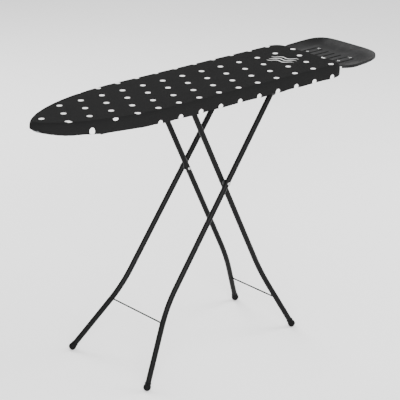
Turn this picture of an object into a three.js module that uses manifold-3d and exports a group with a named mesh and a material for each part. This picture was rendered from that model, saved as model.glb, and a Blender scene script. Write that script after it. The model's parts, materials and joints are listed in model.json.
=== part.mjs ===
// Folding ironing board: a covered deck on two crossed tube frames.
// Millimetres, +Z up. +X points from the nose to the iron rest, +Y is the left side.
// The origin is on the floor, under the middle of the whole board.

import * as THREE from 'three';
import { mergeVertices } from 'three/addons/utils/BufferGeometryUtils.js';
import Module from 'manifold-3d';

const wasm = await Module();
wasm.setup();

// ---------- driving dimensions ----------

const GAP = 0.3;                 // clearance between neighbouring pieces
const THROUGH = 90;              // half length of a cutter that passes right through a small piece
const SIDES = { left: 1, right: -1 };

// covered board
const TOP_Z = 900;               // height of the ironing surface
const NOSE_X = -670;
const WIDE_X = 480;
const BOARD_WIDTH = 330;
const NOSE_LENGTH = 430;         // length over which the nose tapers
const NOSE_FULLNESS = 1.3;       // exponent of the nose curve
const CORNER_R = 48;             // plan radius at the wide end
const COVER_DEPTH = 45;
const COVER_T = 1.2;
const EDGE_R = 9;                // rounding of the covered edge
const HEM_WIDTH = 38;            // how far the cover turns in underneath
const PAD_T = 6;
const DECK_T = 1;
const DECK_HOLE = { pitchX: 70, pitchY: 56, halfX: 26, halfY: 20, columns: 16, border: 30, firstX: 65 };
const RIM_HEIGHT = 22;
const RIM_EDGE_R = 8;
const RIM_T = 1.5;
const RIM_OUTER_INSET = 2.5;
const RIM_INNER_INSET = 24.5;

// crossed frames
const TUBE_R = 9;
const TUBE_WALL = 1.2;
const BAR_Z = 842;               // height of both top bars
const PIVOT_X = 7;
const PIVOT_Z = 575;
const INNER = { angle: 64.67, lean: 1, topY: 87, bendY: 86, bendZ: 211, footY: 148, braceZ: 110 };
const OUTER = { angle: 54.01, lean: -1, topY: 106, bendY: 115, bendZ: 217, footY: 201, braceZ: 174 };
const BEND_REACH = 66;           // tangent length of the bend above each foot
const BEND_STEPS = 6;
const TUBE_SIDES = 14;
const BRACE_R = 2;
const RIVET_R = 4;
const RIVET_HEAD_R = 6.5;
const FOOT_R = 12.3;
const FOOT_HEIGHT = 30;
const LEG_END_Z = 10.5;          // height of the tube's end inside its foot

// folding travel: the height of the sliding bar rises a little halfway
const SLIDE_TRAVEL = 305;
const SLIDE_RISE = 8.2;

// slide rails and what runs in them
const RAIL_Y = 52;
const RAIL_T = 2.5;
const RAIL_LIP = 5;              // web left under the slot
const RAIL_END = { nose: 8, heel: 14 };  // web left beyond the slot's ends
const SLOT_PLAY = { nose: 3, heel: 1 };  // room past the shoe at both ends of its travel
const LEVER_ROOM = { length: 28, below: 3, slope: 10 };  // shallow end of the slot, for the lever only
const FLANGE_WIDTH = 18;
const BRACKET = { y: 72, halfLength: 27, lobeR: 17 };
const CHANNEL_WIDTH = 26;
const CHANNEL_T = 1.5;
const CHANNEL_BOTTOM_Z = 874;
const SHOE = { length: 34, bottom: -10.3, top: 12, width: 12 };
const SADDLE = { nose: 34, heel: 13, near: -40, far: 4, bottom: -11, top: 19.5, fork: 11 };
const RACK = { y: 8, tooth: 6, spine: 6, pitch: 44, teeth: 6, bottom: 860, noseEnd: 18 };
const LEVER_PIVOT = { x: -22, y: -13 };
const PAWL_REACH = { x: -26, y: 20.6 };
const LEVER_PIN_R = 4;
const LEVER_TIP = { x: -18, halfWidth: 6, end: -84 };
const LEVER_Z = { low: 2, high: 5.5 };

// iron rest
const TRAY = { x: 484, length: 186, halfWidth: 162, power: 5, floor: 876, thickness: 2.5 };
const TRAY_SIDE_RISE = 9;
const TRAY_END_RISE = 14;
const STRAP_Y = 75;
const STRAP = { width: 22, thickness: 3, screwX: [535, 590], startX: 386, dipX: 417, riseX: 500, endX: 630 };

const DECK_BOTTOM_Z = TOP_Z - COVER_T - GAP - PAD_T - GAP - DECK_T;
const RIM_TOP_Z = DECK_BOTTOM_Z - GAP;
const HANG_Z = CHANNEL_BOTTOM_Z - GAP;   // where the parts under the channels hang from

// ---------- materials ----------

function material(color, roughness, metalness) {
  return new THREE.MeshStandardMaterial({ color, roughness, metalness });
}

const MATERIALS = {
  cover: material(0x2e2e2e, 0.9, 0),
  felt: material(0xb9b4a8, 0.95, 0),
  elastic: material(0x1c1c1c, 0.8, 0),
  deck: material(0x4a4c4e, 0.55, 0.6),
  frame: material(0x161617, 0.42, 0.5),
  bright: material(0xc9cacb, 0.3, 0.95),
  zinc: material(0x9fa3a6, 0.45, 0.9),
  rubber: material(0x121213, 0.7, 0),
  nylon: material(0x1d1d1f, 0.55, 0),
  tray: material(0x1b1c1d, 0.45, 0.2),
};

// ---------- booleans ----------

function solid(geometry) {
  const bare = geometry.clone();
  bare.deleteAttribute('normal');
  bare.deleteAttribute('uv');
  const merged = mergeVertices(bare, 1e-4);
  return new wasm.Manifold(new wasm.Mesh({
    numProp: 3,
    vertProperties: new Float32Array(merged.attributes.position.array),
    triVerts: new Uint32Array(merged.index.array),
  }));
}

function geometryOf(body) {
  const mesh = body.getMesh();
  const geometry = new THREE.BufferGeometry();
  geometry.setAttribute('position', new THREE.BufferAttribute(mesh.vertProperties, 3));
  geometry.setIndex(new THREE.BufferAttribute(mesh.triVerts, 1));
  geometry.computeVertexNormals();
  return geometry;
}

function cut(geometry, ...tools) {
  let body = solid(geometry);
  for (const tool of tools) body = body.subtract(solid(tool));
  return geometryOf(body);
}

function join(geometry, ...others) {
  let body = solid(geometry);
  for (const other of others) body = body.add(solid(other));
  return geometryOf(body);
}

function common(geometry, other) {
  return geometryOf(solid(geometry).intersect(solid(other)));
}

// ---------- shared shapes ----------

function box(x0, x1, y0, y1, z0, z1) {
  const geometry = new THREE.BoxGeometry(x1 - x0, y1 - y0, z1 - z0);
  return geometry.translate((x0 + x1) / 2, (y0 + y1) / 2, (z0 + z1) / 2);
}

function circle(radius, segments) {
  const points = [];
  for (let i = 0; i < segments; i += 1) {
    const angle = 2 * Math.PI * i / segments;
    points.push(new THREE.Vector2(radius * Math.cos(angle), radius * Math.sin(angle)));
  }
  return points;
}

function shapeOf(points, ...holes) {
  const shape = new THREE.Shape(points.map(([x, y]) => new THREE.Vector2(x, y)));
  for (const hole of holes) {
    shape.holes.push(new THREE.Path(hole.map(([x, y]) => new THREE.Vector2(x, y))));
  }
  return shape;
}

function ringShape(outerRadius, innerRadius, segments) {
  const shape = new THREE.Shape(circle(outerRadius, segments));
  shape.holes.push(new THREE.Path(circle(innerRadius, segments)));
  return shape;
}

// a shape drawn in X and Y, standing between two heights
function upright(shape, z0, z1) {
  const geometry = new THREE.ExtrudeGeometry(shape, { depth: z1 - z0, bevelEnabled: false });
  return geometry.translate(0, 0, z0);
}

// a shape drawn in X and Z, running across the board between two Y values
function across(shape, y0, y1) {
  const geometry = new THREE.ExtrudeGeometry(shape, { depth: y1 - y0, bevelEnabled: false });
  return geometry.rotateX(Math.PI / 2).translate(0, y1, 0);
}

function rodAcross(radius, x, z, y0, y1, segments = TUBE_SIDES) {
  const geometry = new THREE.CylinderGeometry(radius, radius, y1 - y0, segments);
  return geometry.translate(x, (y0 + y1) / 2, z);
}

function rodUp(radius, x, y, z0, z1, segments = TUBE_SIDES) {
  const geometry = new THREE.CylinderGeometry(radius, radius, z1 - z0, segments);
  return geometry.rotateX(Math.PI / 2).translate(x, y, (z0 + z1) / 2);
}

function tubeAcross(x, z, halfLength) {
  const shape = ringShape(TUBE_R, TUBE_R - TUBE_WALL, TUBE_SIDES);
  return across(shape, -halfLength, halfLength).translate(x, 0, z);
}

// ---------- board outline ----------

function outlinePoints(inset) {
  const noseSteps = 18;
  const cornerSteps = 5;
  const halfWidth = BOARD_WIDTH / 2 - inset;
  const cornerR = CORNER_R - inset;
  const side = [];
  for (let i = 1; i <= noseSteps; i += 1) {
    const phi = Math.PI / 2 * i / noseSteps;
    const x = NOSE_X + inset + (NOSE_LENGTH - inset) * (1 - Math.cos(phi));
    side.push([x, halfWidth * Math.sin(phi) ** NOSE_FULLNESS]);
  }
  for (let i = 0; i <= cornerSteps; i += 1) {
    const turn = Math.PI / 2 * i / cornerSteps;
    const x = WIDE_X - CORNER_R + cornerR * Math.sin(turn);
    side.push([x, halfWidth - cornerR + cornerR * Math.cos(turn)]);
  }
  const mirrored = side.map(([x, y]) => [x, -y]);
  return [[NOSE_X + inset, 0], ...mirrored, ...side.reverse()];
}

function halfWidthAt(x, inset) {
  const along = (x - NOSE_X - inset) / (NOSE_LENGTH - inset);
  const fullHalf = BOARD_WIDTH / 2 - inset;
  if (along >= 1) return fullHalf;
  return fullHalf * Math.sqrt(1 - (1 - along) ** 2) ** NOSE_FULLNESS;
}

// a slab with the board's outline and round edges, all of it at one inset
function roundedSlab(inset, radius, z0, z1, bevelSegments, hole) {
  const holes = hole === undefined ? [] : [outlinePoints(hole)];
  const geometry = new THREE.ExtrudeGeometry(shapeOf(outlinePoints(inset), ...holes), {
    depth: z1 - z0 - 2 * radius,
    bevelThickness: radius,
    bevelSize: radius,
    bevelSegments,
  });
  return geometry.translate(0, 0, z0 + radius);
}

// ---------- covered deck ----------

function makeCover() {
  const bottom = TOP_Z - COVER_DEPTH;
  const outer = roundedSlab(EDGE_R, EDGE_R, bottom, TOP_Z, 3);
  const inner = roundedSlab(EDGE_R, EDGE_R - COVER_T, bottom + COVER_T, TOP_Z - COVER_T, 3);
  const mouth = upright(shapeOf(outlinePoints(HEM_WIDTH)), bottom - 5, bottom + 5);
  return cut(outer, inner, mouth);
}

function makeElastic() {
  const z0 = TOP_Z - COVER_DEPTH + COVER_T + GAP;
  const shape = shapeOf(outlinePoints(HEM_WIDTH - 5), outlinePoints(HEM_WIDTH - 1));
  return upright(shape, z0, z0 + 2.5);
}

function makePad() {
  const top = TOP_Z - COVER_T - GAP;
  const radius = EDGE_R - COVER_T - GAP;
  const slab = roundedSlab(EDGE_R, radius, top - 4 * PAD_T, top, 3);
  const level = box(NOSE_X, WIDE_X, -BOARD_WIDTH, BOARD_WIDTH, top - PAD_T, top + PAD_T);
  return common(slab, level);
}

// steel sheet with staggered diamond holes
function makeDeck() {
  const { pitchX, pitchY, halfX, halfY, columns, border, firstX } = DECK_HOLE;
  const holes = [];
  for (let column = 0; column < columns; column += 1) {
    const x = NOSE_X + firstX + column * pitchX;
    const shift = column % 2 === 0 ? 0 : pitchY / 2;
    const room = x + halfX < WIDE_X - 10 ? halfWidthAt(x - halfX, border) : 0;
    for (let row = -3; row <= 3; row += 1) {
      const y = row * pitchY + shift;
      if (Math.abs(y) + halfY < room) {
        holes.push([[x - halfX, y], [x, y + halfY], [x + halfX, y], [x, y - halfY]]);
      }
    }
  }
  return upright(shapeOf(outlinePoints(3), ...holes), DECK_BOTTOM_Z, DECK_BOTTOM_Z + DECK_T);
}

// rolled steel edge, open towards the middle of the board
function makeRim() {
  const outer = RIM_OUTER_INSET + RIM_EDGE_R;
  const inner = RIM_INNER_INSET - RIM_EDGE_R;
  const bottom = RIM_TOP_Z - RIM_HEIGHT;
  const beam = roundedSlab(outer, RIM_EDGE_R, bottom, RIM_TOP_Z, 2, inner);
  const innerR = RIM_EDGE_R - RIM_T;
  const hollow = roundedSlab(outer, innerR, bottom + RIM_T, RIM_TOP_Z - RIM_T, 2, RIM_INNER_INSET + 5);
  return cut(beam, hollow);
}

// steel channel under the deck, open at the top
function makeChannel(x) {
  const half = CHANNEL_WIDTH / 2;
  const top = DECK_BOTTOM_Z - GAP;
  const bottom = CHANNEL_BOTTOM_Z;
  const reach = halfWidthAt(x - half, RIM_INNER_INSET) - 1;
  const shape = shapeOf([
    [x - half, bottom], [x + half, bottom], [x + half, top], [x + half - CHANNEL_T, top],
    [x + half - CHANNEL_T, bottom + CHANNEL_T], [x - half + CHANNEL_T, bottom + CHANNEL_T],
    [x - half + CHANNEL_T, top], [x - half, top],
  ]);
  return across(shape, -reach, reach);
}

// ---------- crossed frames ----------

// the way a leg runs: straight, one long bend outwards, straight to the floor
class LegPath extends THREE.Curve {
  constructor(top, bend, end) {
    super();
    const bendStart = bend.clone().add(top.clone().sub(bend).setLength(BEND_REACH));
    const bendEnd = bend.clone().add(end.clone().sub(bend).setLength(BEND_REACH));
    this.upper = new THREE.LineCurve3(top, bendStart);
    this.bend = new THREE.QuadraticBezierCurve3(bendStart, bend, bendEnd);
    this.lower = new THREE.LineCurve3(bendEnd, end);
    this.steps = BEND_STEPS + 2;
  }

  getPoint(t, target = new THREE.Vector3()) {
    const step = t * this.steps;
    if (step <= 1) return this.upper.getPoint(step, target);
    if (step <= BEND_STEPS + 1) return this.bend.getPoint((step - 1) / BEND_STEPS, target);
    return this.lower.getPoint(step - BEND_STEPS - 1, target);
  }

  // steps are spent on the bend, not spread evenly along the leg
  getUtoTmapping(u) {
    return u;
  }
}

function frameX(frame, z) {
  return PIVOT_X + frame.lean * (PIVOT_Z - z) / Math.tan(THREE.MathUtils.degToRad(frame.angle));
}

function framePoint(frame, side, y, z) {
  return new THREE.Vector3(frameX(frame, z), side * y, z);
}

function lateralAt(frame, z) {
  if (z > frame.bendZ) {
    return THREE.MathUtils.mapLinear(z, BAR_Z, frame.bendZ, frame.topY, frame.bendY);
  }
  return THREE.MathUtils.mapLinear(z, frame.bendZ, 0, frame.bendY, frame.footY);
}

function makeLeg(frame, side) {
  const end = framePoint(frame, side, lateralAt(frame, LEG_END_Z), LEG_END_Z);
  const path = new LegPath(
    framePoint(frame, side, frame.topY, BAR_Z),
    framePoint(frame, side, frame.bendY, frame.bendZ),
    end,
  );
  const tube = new THREE.ExtrudeGeometry(ringShape(TUBE_R, TUBE_R - TUBE_WALL, TUBE_SIDES), {
    extrudePath: path,
    steps: path.steps,
  });
  const cope = rodAcross(TUBE_R + GAP, frameX(frame, BAR_Z), BAR_Z, -250, 250, 32);
  const rivetHole = rodAcross(RIVET_R + GAP, PIVOT_X, PIVOT_Z, -250, 250);
  return cut(tube, cope, rivetHole);
}

function barHalfLength(frame) {
  return frame.topY + TUBE_R + 0.5;
}

function makeBarPlug(frame, side) {
  const headR = TUBE_R;
  const stemR = TUBE_R - TUBE_WALL - GAP;
  const points = [[0, -12], [stemR, -12], [stemR, GAP], [headR, GAP], [headR - 1, 1.8], [0, 2.2]];
  const plug = new THREE.LatheGeometry(points.map(([r, y]) => new THREE.Vector2(r, y)), TUBE_SIDES);
  if (side < 0) plug.rotateX(Math.PI);
  return plug.translate(frameX(frame, BAR_Z), side * barHalfLength(frame), BAR_Z);
}

function makeBrace(frame) {
  const splay = Math.atan2(frame.footY - frame.bendY, frame.bendZ / Math.sin(frame.angle * Math.PI / 180));
  const clear = TUBE_R / Math.cos(splay) + BRACE_R * Math.tan(splay) + GAP;
  const reach = lateralAt(frame, frame.braceZ) - clear;
  return rodAcross(BRACE_R, frameX(frame, frame.braceZ), frame.braceZ, -reach, reach, 10);
}

// rubber cap on the tube's end, cut flat where it stands on the floor
function makeFoot(frame, side) {
  const floorPoint = framePoint(frame, side, frame.footY, 0);
  const up = framePoint(frame, side, lateralAt(frame, LEG_END_Z), LEG_END_Z).sub(floorPoint);
  const socketDepth = up.length() - GAP;
  const boreR = TUBE_R + GAP;
  const profile = [
    [0, -14], [FOOT_R, -14], [FOOT_R, 6], [FOOT_R - 0.5, 13], [FOOT_R - 1.6, FOOT_HEIGHT - 4],
    [FOOT_R - 1.6, FOOT_HEIGHT - 1], [FOOT_R - 2.2, FOOT_HEIGHT], [boreR, FOOT_HEIGHT],
    [boreR, socketDepth], [0, socketDepth],
  ];
  const cap = new THREE.LatheGeometry(profile.map(([r, y]) => new THREE.Vector2(r, y)), 20);
  const turn = new THREE.Quaternion().setFromUnitVectors(new THREE.Vector3(0, 1, 0), up.normalize());
  cap.applyQuaternion(turn).translate(floorPoint.x, floorPoint.y, 0);
  return cut(cap, box(-600, 600, -300, 300, -60, 0));
}

function makeRivet(side) {
  const inner = lateralAt(INNER, PIVOT_Z) - TUBE_R - GAP;
  const outer = lateralAt(OUTER, PIVOT_Z) + TUBE_R + GAP;
  const rise = 3.4;
  const profile = [
    [0, inner - rise], [RIVET_HEAD_R * 0.55, inner - 0.8 * rise], [RIVET_HEAD_R, inner - 0.6], [RIVET_HEAD_R, inner],
    [RIVET_R, inner], [RIVET_R, outer], [RIVET_HEAD_R, outer], [RIVET_HEAD_R, outer + 0.6],
    [RIVET_HEAD_R * 0.55, outer + 0.8 * rise], [0, outer + rise],
  ];
  const rivet = new THREE.LatheGeometry(profile.map(([r, y]) => new THREE.Vector2(r, y)), TUBE_SIDES);
  if (side < 0) rivet.rotateX(Math.PI);
  return rivet.translate(PIVOT_X, 0, PIVOT_Z);
}

function makeSpacer(side) {
  const inner = lateralAt(INNER, PIVOT_Z) + TUBE_R + GAP;
  const outer = lateralAt(OUTER, PIVOT_Z) - TUBE_R - GAP;
  const ring = across(ringShape(11, RIVET_R + GAP, TUBE_SIDES), inner, outer);
  if (side < 0) ring.rotateX(Math.PI);
  return ring.translate(PIVOT_X, 0, PIVOT_Z);
}

// ---------- hinge, rails and height latch ----------

const SLIDER_X = frameX(INNER, BAR_Z);
const HINGE_X = frameX(OUTER, BAR_Z);
const SLOT = {
  nose: SLIDER_X - SLIDE_TRAVEL - SHOE.length / 2 - SLOT_PLAY.nose,
  heel: SLIDER_X + SHOE.length / 2 + SLOT_PLAY.heel,
  bottom: BAR_Z + SHOE.bottom - GAP,
  top: BAR_Z + SHOE.top + SLIDE_RISE,
};

function hangerFlange(x0, x1, side, y) {
  const inner = side * y;
  const outer = side * (y + FLANGE_WIDTH);
  return box(x0, x1, Math.min(inner, outer), Math.max(inner, outer), HANG_Z - RAIL_T, HANG_Z);
}

// the slot is deep where the shoe runs, and goes on shallower where only the lever reaches
function makeRail(side) {
  const step = SLOT.nose - RAIL_END.nose;
  const nose = step - LEVER_ROOM.length;
  const heel = SLOT.heel + RAIL_END.heel;
  const low = SLOT.bottom - RAIL_LIP;
  const leverNose = SLOT.nose - LEVER_ROOM.length;
  const leverLow = BAR_Z + LEVER_Z.low - LEVER_ROOM.below;
  const plate = shapeOf(
    [
      [nose, leverLow - RAIL_LIP], [step - LEVER_ROOM.slope, leverLow - RAIL_LIP], [step, low],
      [heel, low], [heel, HANG_Z], [nose, HANG_Z],
    ],
    [
      [leverNose, leverLow], [SLOT.nose, leverLow], [SLOT.nose, SLOT.bottom],
      [SLOT.heel, SLOT.bottom], [SLOT.heel, SLOT.top], [leverNose, SLOT.top],
    ],
  );
  const web = across(plate, -RAIL_T / 2, RAIL_T / 2).translate(0, side * RAIL_Y, 0);
  return join(web, hangerFlange(nose, heel, side, RAIL_Y));
}

function makeHingeBracket(side) {
  const { y, halfLength, lobeR } = BRACKET;
  const steps = 12;
  const outline = [[HINGE_X + halfLength, HANG_Z], [HINGE_X - halfLength, HANG_Z]];
  for (let i = 0; i <= steps; i += 1) {
    const angle = Math.PI + Math.PI * i / steps;
    outline.push([HINGE_X + lobeR * Math.cos(angle), BAR_Z + lobeR * Math.sin(angle)]);
  }
  const hole = circle(TUBE_R + GAP, 24).map((p) => [HINGE_X + p.x, BAR_Z + p.y]);
  const plate = across(shapeOf(outline, hole), -RAIL_T / 2, RAIL_T / 2).translate(0, side * y, 0);
  return join(plate, hangerFlange(HINGE_X - halfLength, HINGE_X + halfLength, -side, -y));
}

// toothed bar that the latch catches
function makeRack() {
  const spineY = RACK.y + RACK.tooth;
  const first = SLIDER_X + LEVER_PIVOT.x + PAWL_REACH.x;
  const nose = first - RACK.teeth * RACK.pitch - RACK.noseEnd;
  const heel = SLOT.heel + RAIL_END.heel;
  const outline = [[heel, spineY + RACK.spine], [nose, spineY + RACK.spine], [nose, spineY]];
  for (let i = RACK.teeth; i > 0; i -= 1) {
    const gapX = first - i * RACK.pitch;
    outline.push([gapX + 9, spineY], [gapX + 9, RACK.y], [gapX + 22, RACK.y], [gapX + 36, spineY]);
  }
  outline.push([first + 9, spineY], [first + 9, RACK.y], [first + 24, RACK.y], [first + 38, spineY]);
  outline.push([heel, spineY]);
  return upright(shapeOf(outline), RACK.bottom, HANG_Z);
}

function makeShoe(side) {
  const half = SHOE.length / 2;
  const top = BAR_Z + SHOE.top;
  const bottom = BAR_Z + SHOE.bottom;
  const y = side * RAIL_Y;
  const block = box(SLIDER_X - half, SLIDER_X + half, y - SHOE.width / 2, y + SHOE.width / 2, bottom, top);
  const flangeInner = side * (RAIL_Y - RAIL_T / 2 - GAP);
  const flangeOuter = side * (RAIL_Y - SHOE.width / 2 - 1);
  const flange = box(
    SLIDER_X - half, SLIDER_X + half,
    Math.min(flangeInner, flangeOuter), Math.max(flangeInner, flangeOuter), bottom - 3, top + 2,
  );
  return cut(join(block, flange), rodAcross(TUBE_R + GAP, SLIDER_X, BAR_Z, -THROUGH, THROUGH, 24));
}

// block on the sliding bar that holds the latch's pin in a fork
function makeSaddle() {
  const block = box(
    SLIDER_X - SADDLE.nose, SLIDER_X + SADDLE.heel, SADDLE.near, SADDLE.far,
    BAR_Z + SADDLE.bottom, BAR_Z + SADDLE.top,
  );
  const pinX = SLIDER_X + LEVER_PIVOT.x;
  const barBore = rodAcross(TUBE_R + GAP, SLIDER_X, BAR_Z, -THROUGH, THROUGH, 24);
  const pinBore = rodUp(LEVER_PIN_R + GAP, pinX, LEVER_PIVOT.y, BAR_Z - THROUGH, BAR_Z + THROUGH);
  const fork = box(
    SLIDER_X - THROUGH, SLIDER_X - SADDLE.fork, -THROUGH, THROUGH,
    BAR_Z + LEVER_Z.low - GAP, BAR_Z + LEVER_Z.high + GAP,
  );
  return cut(block, barBore, pinBore, fork);
}

function leverPlate(points, z0, z1) {
  const pinX = SLIDER_X + LEVER_PIVOT.x;
  const outline = points.map(([x, y]) => [pinX + x, LEVER_PIVOT.y + y]);
  const plate = upright(shapeOf(outline), z0, z1);
  return cut(plate, rodUp(LEVER_PIN_R + GAP, pinX, LEVER_PIVOT.y, z0 - 5, z1 + 5));
}

function makeLever() {
  const { x, halfWidth, end } = LEVER_TIP;
  const outline = [
    [8, 8], [-8, 8], [-9, -8], [x - halfWidth, -44], [x - halfWidth, end], [x + halfWidth, end],
    [x + halfWidth, -42], [8, -8],
  ];
  return leverPlate(outline, BAR_Z + LEVER_Z.low, BAR_Z + LEVER_Z.high);
}

function makePawl() {
  const { x, y } = PAWL_REACH;
  const outline = [[8, -7], [8, 6], [-4, 10], [x + 6, y], [x - 4, y], [x - 4, y - 6], [-8, -4], [-4, -8]];
  return leverPlate(outline, BAR_Z + 20, BAR_Z + 23);
}

function makeLeverPin() {
  const headR = LEVER_PIN_R + 2;
  const profile = [
    [0, -26], [headR, -26], [headR, -23.5], [LEVER_PIN_R, -23.5], [LEVER_PIN_R, 23.3],
    [headR, 23.3], [headR, 25.3], [0, 25.3],
  ];
  const pin = new THREE.LatheGeometry(profile.map(([r, y]) => new THREE.Vector2(r, y)), TUBE_SIDES);
  return pin.rotateX(Math.PI / 2).translate(SLIDER_X + LEVER_PIVOT.x, LEVER_PIVOT.y, BAR_Z);
}

class SpringPath extends THREE.Curve {
  getPoint(t, target = new THREE.Vector3()) {
    const angle = 2 * Math.PI * 4 * t;
    const z = BAR_Z + SADDLE.bottom - 1.3 - 9.5 * t;
    const x = SLIDER_X + LEVER_PIVOT.x + 5.6 * Math.cos(angle);
    return target.set(x, LEVER_PIVOT.y + 5.6 * Math.sin(angle), z);
  }
}

function makeSpring() {
  const section = new THREE.Shape(circle(0.8, 6));
  return new THREE.ExtrudeGeometry(section, { extrudePath: new SpringPath(), steps: 44 });
}

// hand grip pushed over the end of the lever
function makeGrip() {
  const x = SLIDER_X + LEVER_PIVOT.x + LEVER_TIP.x;
  const end = LEVER_PIVOT.y + LEVER_TIP.end;
  const z = BAR_Z + (LEVER_Z.low + LEVER_Z.high) / 2;
  const length = 35;
  const radius = 7.5;
  const body = new THREE.CapsuleGeometry(radius, length - 2 * radius, 4, 14);
  body.translate(x, end - 3 + length / 2, z);
  const pocket = box(
    x - LEVER_TIP.halfWidth - GAP, x + LEVER_TIP.halfWidth + GAP, end - GAP, end + length,
    BAR_Z + LEVER_Z.low - GAP, BAR_Z + LEVER_Z.high + GAP,
  );
  return cut(body, pocket);
}

// ---------- iron rest ----------

function trayOutline() {
  const steps = 22;
  const points = [[TRAY.x, -TRAY.halfWidth]];
  for (let i = 1; i < steps; i += 1) {
    const angle = -Math.PI / 2 + Math.PI * i / steps;
    const x = TRAY.x + TRAY.length * Math.cos(angle) ** (2 / TRAY.power);
    const y = TRAY.halfWidth * Math.abs(Math.sin(angle)) ** (2 / TRAY.power);
    points.push([x, Math.sign(angle) * y]);
  }
  points.push([TRAY.x, TRAY.halfWidth]);
  return points;
}

function trayHeight(x, y) {
  const along = Math.max(0, (x - TRAY.x) / TRAY.length);
  const outward = (along ** TRAY.power + Math.abs(y / TRAY.halfWidth) ** TRAY.power) ** (1 / TRAY.power);
  const edge = THREE.MathUtils.clamp((outward - 0.7) / 0.3, 0, 1.1);
  return TRAY.floor + (TRAY_SIDE_RISE + TRAY_END_RISE * along ** 2) * edge ** 2;
}

// dished sheet, trimmed to its outline, with holes for the screws
function makeTray() {
  const sheet = new THREE.BoxGeometry(TRAY.length + 8, 2 * TRAY.halfWidth + 8, 1, 12, 16, 1);
  const position = sheet.attributes.position;
  for (let i = 0; i < position.count; i += 1) {
    const x = position.getX(i) + TRAY.x + TRAY.length / 2;
    const y = position.getY(i);
    const below = position.getZ(i) > 0 ? 0 : TRAY.thickness;
    position.setXYZ(i, x, y, trayHeight(x, y) - below);
  }
  const trimmed = common(sheet, upright(shapeOf(trayOutline()), TRAY.floor - 40, TRAY.floor + 60));
  const holes = [];
  for (const side of Object.values(SIDES)) {
    for (const x of STRAP.screwX) holes.push(rodUp(2.3, x, side * STRAP_Y, 860, 890, 10));
  }
  return cut(trimmed, ...holes);
}

// flat bar that dips under the hem and carries the tray
function makeStrap(side) {
  const underTray = TRAY.floor - TRAY.thickness - GAP;
  const underHem = TOP_Z - COVER_DEPTH - 1;
  const t = STRAP.thickness;
  const { startX, dipX, riseX, endX } = STRAP;
  const outline = [
    [startX, HANG_Z], [dipX, HANG_Z], [dipX + 19, underHem], [riseX, underHem], [riseX + 20, underTray],
    [endX, underTray], [endX, underTray - t], [riseX + 21.5, underTray - t], [riseX + 1.5, underHem - t],
    [dipX + 17.5, underHem - t], [dipX - 1.5, HANG_Z - t], [startX, HANG_Z - t],
  ];
  const y = side * STRAP_Y;
  const strap = across(shapeOf(outline), y - STRAP.width / 2, y + STRAP.width / 2);
  return cut(strap, ...STRAP.screwX.map((x) => rodUp(2.3, x, y, 860, 890, 10)));
}

function makeTrayScrew(x, y) {
  const top = TRAY.floor + GAP;
  const profile = [[0, -14], [2, -14], [2, 0], [4.6, 0], [4.2, 1.2], [2.6, 2.2], [0, 2.5]];
  const screw = new THREE.LatheGeometry(profile.map(([r, z]) => new THREE.Vector2(r, z)), 12);
  return screw.rotateX(Math.PI / 2).translate(x, y, top);
}

// ---------- assembly ----------

const ironingBoard = new THREE.Group();

function addPiece(name, geometry, finish) {
  const mesh = new THREE.Mesh(geometry, finish);
  mesh.name = name;
  ironingBoard.add(mesh);
}

addPiece('cover', makeCover(), MATERIALS.cover);
addPiece('hem_elastic', makeElastic(), MATERIALS.elastic);
addPiece('felt_pad', makePad(), MATERIALS.felt);
addPiece('deck_mesh', makeDeck(), MATERIALS.deck);
addPiece('deck_rim', makeRim(), MATERIALS.deck);
addPiece('cross_channel_nose', makeChannel(SLOT.nose + 12), MATERIALS.deck);
addPiece('cross_channel_slide', makeChannel(SLOT.heel), MATERIALS.deck);
addPiece('cross_channel_hinge', makeChannel(HINGE_X), MATERIALS.deck);
addPiece('cross_channel_rest', makeChannel(402), MATERIALS.deck);
addPiece('height_rack', makeRack(), MATERIALS.zinc);
addPiece('iron_rest_tray', makeTray(), MATERIALS.tray);
addPiece('outer_top_bar', tubeAcross(HINGE_X, BAR_Z, barHalfLength(OUTER)), MATERIALS.frame);
addPiece('inner_top_bar', tubeAcross(SLIDER_X, BAR_Z, barHalfLength(INNER)), MATERIALS.frame);
addPiece('outer_brace', makeBrace(OUTER), MATERIALS.frame);
addPiece('inner_brace', makeBrace(INNER), MATERIALS.frame);
addPiece('latch_saddle', makeSaddle(), MATERIALS.nylon);
addPiece('height_lever', makeLever(), MATERIALS.zinc);
addPiece('rack_pawl', makePawl(), MATERIALS.zinc);
addPiece('lever_pin', makeLeverPin(), MATERIALS.bright);
addPiece('lever_spring', makeSpring(), MATERIALS.bright);
addPiece('lever_grip', makeGrip(), MATERIALS.nylon);

for (const [sideName, side] of Object.entries(SIDES)) {
  addPiece(`outer_leg_${sideName}`, makeLeg(OUTER, side), MATERIALS.frame);
  addPiece(`inner_leg_${sideName}`, makeLeg(INNER, side), MATERIALS.frame);
  addPiece(`outer_foot_${sideName}`, makeFoot(OUTER, side), MATERIALS.rubber);
  addPiece(`inner_foot_${sideName}`, makeFoot(INNER, side), MATERIALS.rubber);
  addPiece(`outer_bar_plug_${sideName}`, makeBarPlug(OUTER, side), MATERIALS.nylon);
  addPiece(`inner_bar_plug_${sideName}`, makeBarPlug(INNER, side), MATERIALS.nylon);
  addPiece(`pivot_rivet_${sideName}`, makeRivet(side), MATERIALS.bright);
  addPiece(`pivot_spacer_${sideName}`, makeSpacer(side), MATERIALS.nylon);
  addPiece(`slide_rail_${sideName}`, makeRail(side), MATERIALS.deck);
  addPiece(`slide_shoe_${sideName}`, makeShoe(side), MATERIALS.nylon);
  addPiece(`hinge_bracket_${sideName}`, makeHingeBracket(side), MATERIALS.deck);
  addPiece(`rest_strap_${sideName}`, makeStrap(side), MATERIALS.frame);
  STRAP.screwX.forEach((x, i) => {
    addPiece(`tray_screw_${sideName}_${i + 1}`, makeTrayScrew(x, side * STRAP_Y), MATERIALS.bright);
  });
}

export default ironingBoard;
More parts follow.
